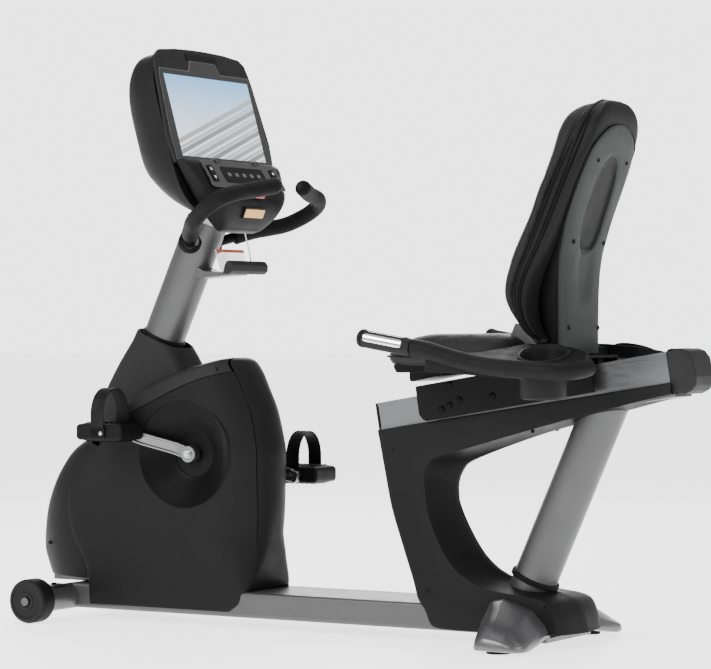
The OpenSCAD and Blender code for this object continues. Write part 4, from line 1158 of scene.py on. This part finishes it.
def build_console():
    """Shell, bezel, screen, vent, keypad, keys and the small plate under the pod."""
    fit(console_back(), "frame", ["console_shell"])
    fit(console_pod(), "frame", ["console_shell"])
    groove = both([(205, -114), (213, -58), (196, 110), (188, 144), (168, 158), (60, 167)])
    fit(panel("console_groove", groove, -14, -8, BLACK, 1), "frame")
    outline = rounded(both([(213, -117, 4), (221, -52, 60), (205, 100, 30), (199, 126, 14), (192, 149, 14),
                            (171, 163, 20), (100, 170, 60), (30, 172, 60)]), 10, 4)
    fit(panel("console_front", outline, -9, 0.4, FACE, 3.5, segments=4), "frame",
        ["console_face"])
    shape = [(205, -116, 3), (209, -52, 40), (197, 96, 20), (190, 114, 5), (66, 114, 5), (53, 141, 5)]
    fit(panel("bezel_line", rounded(line_shape(shape, 1.6), 4), 0, 0.9, TRIM_LIGHT, 0.4), "frame")
    fit(panel("bezel", rounded(line_shape(shape, 0), 4), 0, 1.5, GLOSS_BLACK, 0.6), "frame")
    fit(build_screen(), "frame", ["screen"])
    vent = [panel("slot", rounded([(-70, 142), (70, 142), (66, 160), (-66, 160)], 4), 0, 1.0, BLACK, 0.4)]
    vent += [panel("louvre", box(-64, s, 64, s + 2.2), 0.8, 2.6, FACE, 0.6)
             for s in (144.5, 149.5, 154.5)]
    fit(join("console_vent", vent), "frame")
    for tag, sign in SIDES:
        y = 83 * sign
        clip = rounded([(y - 13, -128), (y + 13, -128), (y + 11, -113), (y - 11, -113)], 3)
        fit(panel(f"bezel_clip_{tag}", clip, 1, 34.5, GLOSS_BLACK, 1.2), "frame")
    keypad = [panel("plate", rounded(box(-160, -38, 160, 38), 12), -3, 0.5, GLOSS_BLACK, 0.8, on_keys),
              panel("recess", rounded(box(-92, -24, 92, 22), 8), 0.3, 1.2, BLACK, 0.5, on_keys)]
    for y in range(-64, 65, 32):
        mark = rounded(box(y - 7, -5, y + 7, 5), 3)
        keypad.append(panel("mark", mark, 1.1, 1.5, TRIM_LIGHT, 0, on_keys))
    fit(join("keypad_plate", keypad), "frame", ["keypad_panel"])
    for tag, y in (("volume", -135), ("channel", 135)):
        key = [panel("key", rounded(box(y - 11, -23, y + 11, 23), 5), 0.3, 2.6, BLACK, 0.9, on_keys)]
        for way in (-1, 1):
            arrow = rounded([(y - 5.5, way * 8), (y + 5.5, way * 8), (y, way * 17)], 1)
            key.append(panel("icon", arrow, 2.4, 3.0, KEY_WHITE, 0, on_keys))
        fit(join(f"{tag}_rocker", key), tag, [f"{tag}_key"])
    stop = panel("stop", rounded(box(-37, -65, 37, -43), 9), 0.2, 4.4, RED, 1.6, on_keys)
    ring = lathe("ring", [(5.5, 4.2), (5.9, 4.9), (7.2, 4.9), (7.6, 4.2)], on_keys(0, 0, -54),
                 Vector(on_keys(1, 0, 0)) - Vector(on_keys(0, 0, 0)), KEY_WHITE, 32)
    fit(join("stop_cap", [stop, ring]), "stop", ["stop_button"])
    under = lambda d, y, s: on_console(40 + 0.78 * d + 0.62 * s, y, 0.78 * s - 0.62 * d - 247)
    plate = panel("border", rounded(box(-46, -15, 46, 15), 4), 2.0, 5.5, BLACK, 0.8, under)
    face = panel("amber", rounded(box(-41, -10.5, 41, 10.5), 3), 5.3, 6.2, AMBER, 0.4, under)
    fit(join("sensor_plate", [plate, face]), "frame")


def line_shape(shape, grow):
    """The bezel's whole outline, grown evenly by a small amount."""
    half = [(y + grow, s + (grow if s > 100 else 0), r) for y, s, r in shape]
    return half + [(-y, s, r) for y, s, r in reversed(half)]


# ---------------------------------------------------------------- handlebars, tray and cord

BAR = [(-425, 56, 909), (-400, 93, 921), (-367, 138, 937), (-319, 197, 952), (-275, 222, 975), (-240, 220, 997),
       (-216, 185, 1013), (-205, 130, 1022), (-190, 85, 1030), (-181, 58, 1035)]
SOCKET, BAR_WAY = Vector((-433, 45, 905)), Vector((0.56, 0.783, 0.272)).normalized()


def build_bars():
    """The front handlebars with their foam, collars and end caps, and the collars of mast and strut."""
    for tag, sign in SIDES:
        flip = lambda p: Vector((p[0], sign * p[1], p[2]))
        way = flip(BAR_WAY)
        line = [flip(p) for p in spline(BAR[1:], 72)]
        fit(tube(f"foam_{tag}", line, 19, FOAM, 40, 0.3), "frame", ["foam_grips"])
        core = [flip(SOCKET + BAR_WAY * t) for t in (-18, 0, 14)] + [flip(p) for p in BAR[1:3]]
        fit(tube(f"bar_core_{tag}", core, 12.4, BLACK_STEEL, 24, 0), "frame", ["handlebar_tubes"])
        ridges = [(21.2, 2)] + [(26.5 + 1.5 * (k % 2), 3 + 2.2 * k) for k in range(7)] + [(24, 19), (21.2, 19.6)]
        fit(lathe(f"socket_collar_{tag}", ridges, flip(SOCKET), way, RUBBER, 56), "frame",
            ["tube_collars"])
        cap = lathe(f"bar_end_{tag}", [(0, 6), (9, 6), (15, 4), (17.2, 1), (17.2, -3), (0, -3)], line[-1],
                    (line[-1] - line[-3]).normalized(), BLACK, 40)
        fit(cap, "frame")
    for name, centre, lean, low, r in (("mast_collar", (-497, 0, 770), 24.3, -104, 3.5),
                                       ("strut_collar", (466, 0, 142), 24.0, -4, 6)):
        c, s = turn(lean)
        axis = Vector((s, 0, c))
        profile = [(50.2, 0), (50 + r, 0.5), (50.4 + r, 3), (49.6 + r, 5), (50.4 + r, 7), (49.6 + r, 9),
                   (49 + r, 11), (50.2, 12)]
        fit(lathe(name, profile, Vector(centre) + axis * low, axis, RUBBER, 72), "frame",
            ["tube_collars"])


def build_tray():
    """The accessory tray's ridged bar on its bracket, with the clear window that leans behind it."""
    bar = prism("bar", rounded([(-318, 830), (-300, 830), (-291, 837), (-290, 851), (-298, 861), (-306, 861),
                                (-313, 850), (-317, 835)], 4, 3), -78, 78, TRIM, 3.5, 4)
    groove = prism("groove", box(-304, 860.4, -300.5, 861.4), -72, 72, BLACK, 0.3)
    outline = rounded([(-452, 818), (-320, 828), (-318, 833), (-400, 838), (-452, 862)], 3, 2)
    bracket = prism("bracket", outline, -34, 34, FRAME, 2.5)
    fit(join("tray_body", [bar, groove, bracket]), "frame", ["accessory_tray"])
    window = prism("window", [(-336, 834.5), (-333.4, 834.5), (-350, 889), (-352.4, 888)], -60, 60, CLEAR, 0.5)
    strip = prism("strip", [(-346.6, 882), (-346.1, 882), (-348.2, 889.2), (-348.8, 889.2)], -60, 60, ORANGE, 0)
    fit(join("tray_panel", [window, strip]), "frame", ["tray_window"])


CORD = [(-321, 24, 930), (-320, 25, 920), (-318, 29, 905), (-317, 35, 888), (-318, 42, 871), (-321, 49, 857),
        (-322, 53, 848)]


def build_cord():
    """The white accessory cord, from the console's gland down to its plug."""
    path = spline(CORD, 30)
    cable = tube("white_cord", path, 1.5, WHITE, 16, 0)
    fit(cable, "frame", ["charge_cord"])
    end, way = Vector(path[-1]), (Vector(path[-1]) - Vector(path[-3])).normalized()
    profile = [(0, 0), (1.9, 0), (2.4, 1.5), (3.5, 3), (3.5, 11), (2.6, 13.5), (0, 13.5)]
    plug = lathe("white_plug", profile, end, way, WHITE, 32)
    fit(plug, "frame", ["cord_plug"])


# ---------------------------------------------------------------- seat

# Height, front x, rear x, half width of the whole backrest
BACK = [(676, 524, 540, 112), (690, 512, 528, 134), (717, 497, 515, 150), (752, 481, 512, 160),
        (780, 475, 513, 165), (820, 483, 524, 165), (880, 505, 552, 163), (945, 531, 573, 156),
        (1010, 553, 595, 147), (1080, 576, 624, 129), (1140, 592, 650, 107), (1175, 604, 662, 84),
        (1195, 618, 660, 56), (1204, 632, 652, 26)]
# Shares of the backrest's depth where the cushion begins and ends, and where the shell's rear part begins
PAD_FRONT, PAD_REAR, SHOULDER_START = -0.52, 0.62, 0.455


PUFF_VOXEL, PUFF_STIFFNESS, PUFF_PRESSURE, PUFF_CAP = 6.0, 12.0, 3.0, 5.0


def puff(obj):
    """Swells the pad as cloth over foam, and keeps every point within the cap of where it began."""
    material = obj.data.materials[0]
    modify(obj, "REMESH", mode="VOXEL", voxel_size=PUFF_VOXEL * MM)
    made = applied(obj).data
    start = np.array([v.co for v in made.vertices])
    cloth = obj.modifiers.new("cloth", "CLOTH")
    cloth.settings.quality = 5
    cloth.settings.mass = 0.3
    cloth.settings.tension_stiffness = PUFF_STIFFNESS
    cloth.settings.compression_stiffness = PUFF_STIFFNESS
    cloth.settings.bending_stiffness = 0.6
    cloth.settings.use_pressure = True
    cloth.settings.uniform_pressure_force = PUFF_PRESSURE
    cloth.settings.effector_weights.gravity = 0
    scene = bpy.context.scene
    for k in range(1, 21):
        scene.frame_set(k)
    dg = bpy.context.evaluated_depsgraph_get()
    moved = np.array([v.co for v in obj.evaluated_get(dg).data.vertices])
    obj.modifiers.clear()
    scene.frame_set(1)
    step = moved - start
    far = np.linalg.norm(step, axis=1, keepdims=True)
    limit = PUFF_CAP * MM
    step = step * np.where(far > 1e-9, limit * np.tanh(far / limit) / np.maximum(far, 1e-9), 0)
    made.vertices.foreach_set("co", (start + step).ravel())
    made.update()
    made.materials.clear()
    made.materials.append(material)
    made.shade_smooth()
    modify(obj, "SMOOTH", factor=0.5, iterations=14)
    modify(obj, "SUBSURF", levels=1, render_levels=1)
    return join(obj.name, [obj])


def back_pad():
    """The backrest's cushion before it is puffed, from in front of the backrest to inside its shell."""
    rings = []
    for z, front, rear, wide in blend(BACK, 56):
        x0, x1 = front + (rear - front) * PAD_FRONT, front + (rear - front) * PAD_REAR
        drop = 3 * max(0, (z - 1100) / 104)
        rings.append(level_oval((x0 + x1) / 2, z - drop, max((x1 - x0) / 2 - 1.6, 2), max(wide - 4, 8), 3.4, 64))
    return loft("back_pad", rings, VINYL, smooth=60)


# Height, front x, rear x, half width and inward taper of the shell behind the cushion
SHELL_BACK = [(678, 530, 542, 112, 0.02), (692, 519, 531, 133, 0.04), (719, 505, 520, 149, 0.08),
              (752, 496, 516, 159, 0.12), (780, 494, 519, 164, 0.14), (820, 503, 532, 164, 0.16),
              (880, 528, 562, 162, 0.20), (945, 551, 592, 155, 0.22), (1010, 573, 620, 146, 0.19),
              (1060, 588, 643, 135, 0.13), (1100, 598, 661, 124, 0.07), (1140, 610, 673, 112, 0.02),
              (1172, 622, 677, 92, 0.0), (1194, 632, 673, 63, 0.0), (1203, 642, 664, 30, 0.0)]


def shell_rear(y, z):
    """The rear face of the shell at one place."""
    front, rear, wide, taper = at_height(SHELL_BACK, z)
    half = (rear - front) * (1 - SHOULDER_START) / 2
    return rear - half + half * (1 - min(abs(y) / (wide * (1 - taper)), 1) ** 5) ** 0.2


def build_back():
    """Cushion, the shell in two parts with a dark seam between them, the core inside and the piping."""
    fit(puff(back_pad()), "seat", ["back_cushion"])
    for name, low, high, inset in (("back_moulding", 0.0, 0.42, 0), ("back_seam", 0.30, 0.60, 3.5),
                                   ("back_shoulder", SHOULDER_START, 1.0, 0)):
        rings = []
        for z, front, rear, wide, taper in blend(SHELL_BACK, 90):
            x0, x1 = front + (rear - front) * low, front + (rear - front) * high
            ring = level_oval((x0 + x1) / 2, z, max((x1 - x0) / 2, 2), max(wide - inset, 8), 5.0, 72)
            for q in ring:
                q.y *= 1 - taper * min(max((q.x - front) / (rear - front), 0), 1) ** 1.6
            rings.append(ring)
        fit(loft(name, rings, BLACK if inset else CHARCOAL, smooth=50), "seat",
            ["back_shell"] if low == 0 else ())
    rings = []
    for z, x, _, wide in blend(SPINE_ROWS[:9], 40):
        front = at_height(SHELL_BACK, z)[1] - 12
        rings.append(level_oval((front + x) / 2, z, max((x - front) / 2, 2), max(wide - 4, 10), 5.0, 64))
    fit(loft("back_core", rings, BLACK, smooth=50), "seat")
    line = [(front + (rear - front) * 0.57, wide + 0.4, z) for z, front, rear, wide in blend(BACK, 60)]
    loop = line + [(x, -y, z) for x, y, z in reversed(line)]
    fit(tube("back_piping", loop, 2.4, BLACK, 12, 0), "seat")


# Height, centre x, half depth, half width
SPINE_ROWS = [(648, 572, 15, 88), (720, 572, 15, 89), (800, 573, 14, 93), (861, 578, 14, 98),
              (905, 588, 14, 103), (950, 601, 13, 108), (1010, 624, 11, 111), (1060, 643, 10, 110),
              (1095, 655, 10, 104), (1120, 663, 10, 86), (1138, 668, 9, 58), (1147, 670, 8, 28)]


# Half width, foot, top, depth and steepness of wall of the spine cover's long oval and the scoop below it
OVAL, SCOOP = (60, 850, 1096, 8.0, 3.2), (52, 745, 930, 6.0, 1.5)


def recess(y, z):
    """How deep the spine cover's long oval and the shallow scoop below it go at one place."""
    depth = 0
    for half, low, high, deep, wall in (OVAL, SCOOP):
        centre, tall = (low + high) / 2, (high - low) / 2
        q = (abs(y / half) ** 2.4 + abs((z - centre) / tall) ** 2.4) ** (1 / 2.4)
        s = min(max((1 - q) * wall, 0), 1)
        depth = max(depth, deep * s * s * (3 - 2 * s))
    return depth


SMOOTH_SPINE = blend(SPINE_ROWS, 150)


def spine_rear(y, z):
    """The rear face of the spine cover at one place."""
    x, deep, wide = at_height(SMOOTH_SPINE, z)
    return x + deep * (1 - min(abs(y / wide), 1) ** 5) ** 0.35 - recess(y, z)


def spine_cover():
    """The grey cover behind the backrest, with its oval recess and the shallow scoop below it."""
    rings = []
    for z, x, deep, wide in SMOOTH_SPINE:
        across = [wide * turn(a)[1] for a in np.linspace(-90, 90, 65)]
        front = [(x - deep * (1 - abs(y / wide) ** 5) ** 0.35, y) for y in reversed(across)]
        rings.append([(px, y, z) for px, y in [(spine_rear(y, z), y) for y in across] + front])
    return loft("spine_moulding", rings, SPINE, smooth=50)


def spine_inlay(name, share, rise, material):
    """A long oval skin that lines the recess."""
    wide, low, high = OVAL[:3]
    rows = []
    for a in np.linspace(-89, 89, 60):
        c, s = turn(a)
        z = (low + high) / 2 + (high - low) / 2 * share * spow(s, 0.85)
        half = wide * share * c ** 0.85
        rows.append([(spine_rear(y, z) + rise, y, z) for y in np.linspace(-half, half, 25)])
    return skin(name, rows, material, smooth=60)


def build_spine():
    """The spine cover with its recess lined in painted shade, the dark gap round its top and its screws."""
    fit(spine_cover(), "seat", ["spine_cover"])
    outline = [(wide + 1.5, z) for z, _, _, wide in blend(SPINE_ROWS, 90) if z > 1000]
    outline += [(14, 1148.5), (0, 1149)]
    path = [(shell_rear(y, z) + 1.6, -y, z) for y, z in outline]
    path += [(x, -y, z) for x, y, z in reversed(path[:-1])]
    fit(tube("spine_gap", path, 2.6, BLACK, 10, 0), "seat")
    fit(spine_inlay("recess_seam", 0.875, 0.25, BLACK), "seat")
    # Painted shade: a darker skin over the recess floor stands in for the shade inside the recess.
    fit(spine_inlay("recess_painted_shade", 0.845, 0.6, CHARCOAL_DARK), "seat")
    head = [(0, 0.3), (2.2, 0.3), (2.6, 1.4), (4.6, 1.4), (5.2, 0.5), (5.2, -4), (0, -4)]
    for k, (z, y, x) in enumerate(((704, 73, 585.8), (893, 76, 599.0), (1070, 72, 656.2))):
        for tag, sign in SIDES:
            fit(lathe(f"spine_screw_{tag}_{k}", head, (x, sign * y, z), (1, 0, 0), BLACK, 20), "seat")


# Height, centre x, half length, half width of the seat pad
SEAT = [(618, 334, 160, 180), (630, 331, 170, 190), (648, 333, 171, 192), (664, 346, 150, 187),
        (676, 359, 128, 172), (683, 364, 100, 140)]


def build_seat():
    """The seat's cushion, its piping and the pan under it."""
    rings = []
    for z, x, a, b in blend(SEAT, 22):
        ring = level_oval(x, z, a, b, 5.4, 96)
        for p in ring:
            side = abs(p.y) / 200
            p.z += (z - 618) / 65 * (7 * side ** 2 - 8 * max(0, (p.x - 430) / 80) - 5 * max(0, (240 - p.x) / 60))
        rings.append(ring)
    pad = puff(loft("seat_pad", rings, VINYL, smooth=60))
    fit(pad, "seat", ["seat_cushion"])
    seam = level_oval(332, 640, 170, 190.5, 5.4, 110)
    fit(tube("seat_piping", seam + seam[:1], 2.3, BLACK, 10, 0), "seat")
    tray = prism("tray", rounded([(205, 604), (490, 604), (500, 622), (195, 622)], 5, 3), -172, 172, BLACK, 6, 4)
    nose = prism("nose", rounded([(175, 580), (262, 597), (262, 616), (175, 616)], 6, 3), -58, 58, BLACK, 4, 3)
    fit(join("seat_base", [tray, nose]), "seat", ["seat_pan"])


# The bolster along the armrest's outer edge, and the flat plate's outline seen from above
ARM_LINE = [(314, 300, 662), (360, 301, 654), (420, 301, 638), (480, 301, 626), (540, 300, 619), (600, 300, 615),
            (650, 296, 612), (686, 280, 613), (705, 254, 617), (708, 226, 622)]
ARM_PLAN = [(345, 300, 8), (352, 280, 10), (400, 268, 40), (455, 236, 40), (500, 192, 30), (522, 160, 14),
            (572, 156, 14), (640, 166, 40), (694, 196, 40), (706, 240, 30), (694, 290, 25), (640, 305, 20)]


CUP_X, CUP_Y = 606, 240


def hollowed(obj, centre, radius, low, high):
    """Bores a round hole down through the piece."""
    cutter = lathe("cutter", [(0, low), (radius, low), (radius, high), (0, high)], centre, (0, 0, 1), BLACK, 64)
    return bored(obj, cutter)


def build_arms():
    """The armrests, each with a bored plate, a bolster and a cup holder."""
    for tag, sign in SIDES:
        drop = lambda x, y: -(abs(y) - CUP_Y) * 0.27 - (x - CUP_X) * 0.05
        plate = prism("plate", rounded(ARM_PLAN, 20, 5), 612, 644, SOFT, 0, 3,
                      lambda u, v, w: (u, sign * w, v + drop(u, w)))
        hollowed(plate, (CUP_X, sign * CUP_Y, 0), 51, 560, 720)
        shade(plate, 35)
        bevel(plate, 8, 5)
        bolster = tube("bolster", [(x, sign * y, z) for x, y, z in spline(ARM_LINE, 60)], 19.6, SOFT, 36, 0.9)
        fit(join(f"armrest_{tag}", [plate, bolster]), "seat", ["armrests"])
        cup = [(0, 0), (42, 0), (47, 2), (50, 7), (50.6, 84), (56, 90), (57, 96), (55, 100), (51, 101), (47, 98),
               (45.5, 92), (44, 12), (40, 6), (0, 5)]
        holder = lathe(f"cup_{tag}", cup, (CUP_X, sign * CUP_Y, 551), (0, 0, 1), CHARCOAL, 72, smooth=40)
        for v in holder.data.vertices:
            share = min(max((v.co.z / MM - 600) / 40, 0), 1)
            v.co.z += drop(v.co.x / MM, v.co.y / MM) * MM * share * 1.25
        fit(holder, "seat", ["cup_holders"])


GRIP_SLOPE = 9.4
STRIP_START, STRIP_END = 20, 116


def build_grips():
    """The side hand grips with their bright contact strips."""
    c, s = turn(GRIP_SLOPE)
    axis, down = Vector((c, 0, -s)), Vector((-s, 0, -c))
    for tag, sign in SIDES:
        centre, across = Vector((185, sign * 300, 683)), Vector((0, sign, 0))
        profile = [(0, 1), (12, 1), (17, 2.6), (19.4, 6), (20, 10), (20, 122), (18, 134), (0, 134)]
        body = lathe("body", profile, centre, axis, GRIP, 56, smooth=50)
        ring = lathe("ring", [(19.4, 10), (20.7, 11), (20.7, 13.5), (19.4, 14.5)], centre, axis, BLACK, 56)
        fit(join(f"hand_grip_{tag}", [body, ring]), "seat", ["hand_grips"])
        strips = []
        for middle in (104, 176):
            rows = []
            for h in np.linspace(STRIP_START, STRIP_END, 25):
                ease = min(1.0, (h - STRIP_START) / 7, (STRIP_END - h) / 7)
                half = 26 * (0.72 + 0.28 * max(ease, 0) ** 0.5)
                around = (turn(middle + t) for t in np.linspace(-half, half, 13))
                rows.append([centre + axis * h + (down * c + across * s) * 20.9 for c, s in around])
            strips.append(thick(skin("strip", rows, CHROME, smooth=60), 1.2, 0.35))
        fit(join(f"contact_strips_{tag}", strips), "seat")


def build_carriage():
    """Bolt heads on the carriage's side plates and the bright gussets of the backrest."""
    for tag, sign in SIDES:
        bolts = []
        for x, z in ((267, 520), (287, 529), (312, 542), (396, 551), (286, 577)):
            bolts.append(lathe("bolt", [(0, 4), (2.6, 4), (3, 5.2), (6.4, 4.6), (8, 2.4), (8, -0.5), (0, -0.5)],
                               (x, sign * 75, z), (0, sign, 0), BLACK, 24))
        fit(join(f"carriage_bolts_{tag}", bolts), "seat")
        outline = rounded([(440, 664), (462, 714), (478, 713), (494, 690), (530, 655), (530, 645)], 5, 3)
        gusset = prism(f"gusset_{tag}", outline, sign * 85.8, sign * 92.2, FRAME, 1.2)
        fit(gusset, "seat")


make_camera()
for build in (build_cord, make_studio, build_shroud, build_base, build_rail, build_cranks, build_console,
              build_bars, build_tray, build_back, build_spine, build_seat, build_arms, build_grips,
              build_carriage):
    build()

dress(FRAME, "base_frame", "front_stabilizer", "rear_strut", "mast", "generator_axle", "crank_housing")
dress(FOOT, "rear_foot")
dress(RUBBER, "foot_pads", "tube_collars", "drive_belt", "brake_shoe")
dress(RAIL, "seat_rail")
dress(CHARCOAL, "leg_covers", "console_shell", "console_face", "rail_caps", "accessory_tray", "back_shell",
      "cup_holders", "keypad_panel", "side_cover_left", "side_cover_right", "front_cover", "rear_cover",
      "hub_covers")
dress(TRIM, "top_trim", "mast_base_cover")
dress(SPINE, "spine_cover")
dress(STEEL, "crank_bearings", "crank_axle", "pedal_spindles", "crank_bolts")
dress(ALLOY, "crank_arms")
dress(IRON, "flywheel_rotor")
dress(BLACK, "drive_pulley", "release_lever", "cover_screws")
dress(PEDAL, "pedal_left", "pedal_right")
dress(STRAP, "toe_strap_left", "toe_strap_right")
dress(WHEEL, "wheel_left", "wheel_right")
dress(BLACK_STEEL, "seat_carriage", "back_post", "seat_pan", "handlebar_tubes")
dress(FOAM, "foam_grips")
dress(CLEAR, "tray_window")
dress(WHITE, "charge_cord", "cord_plug")
dress(NYLON, "carriage_glides")
dress(VINYL, "seat_cushion", "back_cushion")
dress(SOFT, "armrests", "hand_grips")
dress(KEY_WHITE, "volume_key", "channel_key", "screen")
dress(RED, "stop_button")
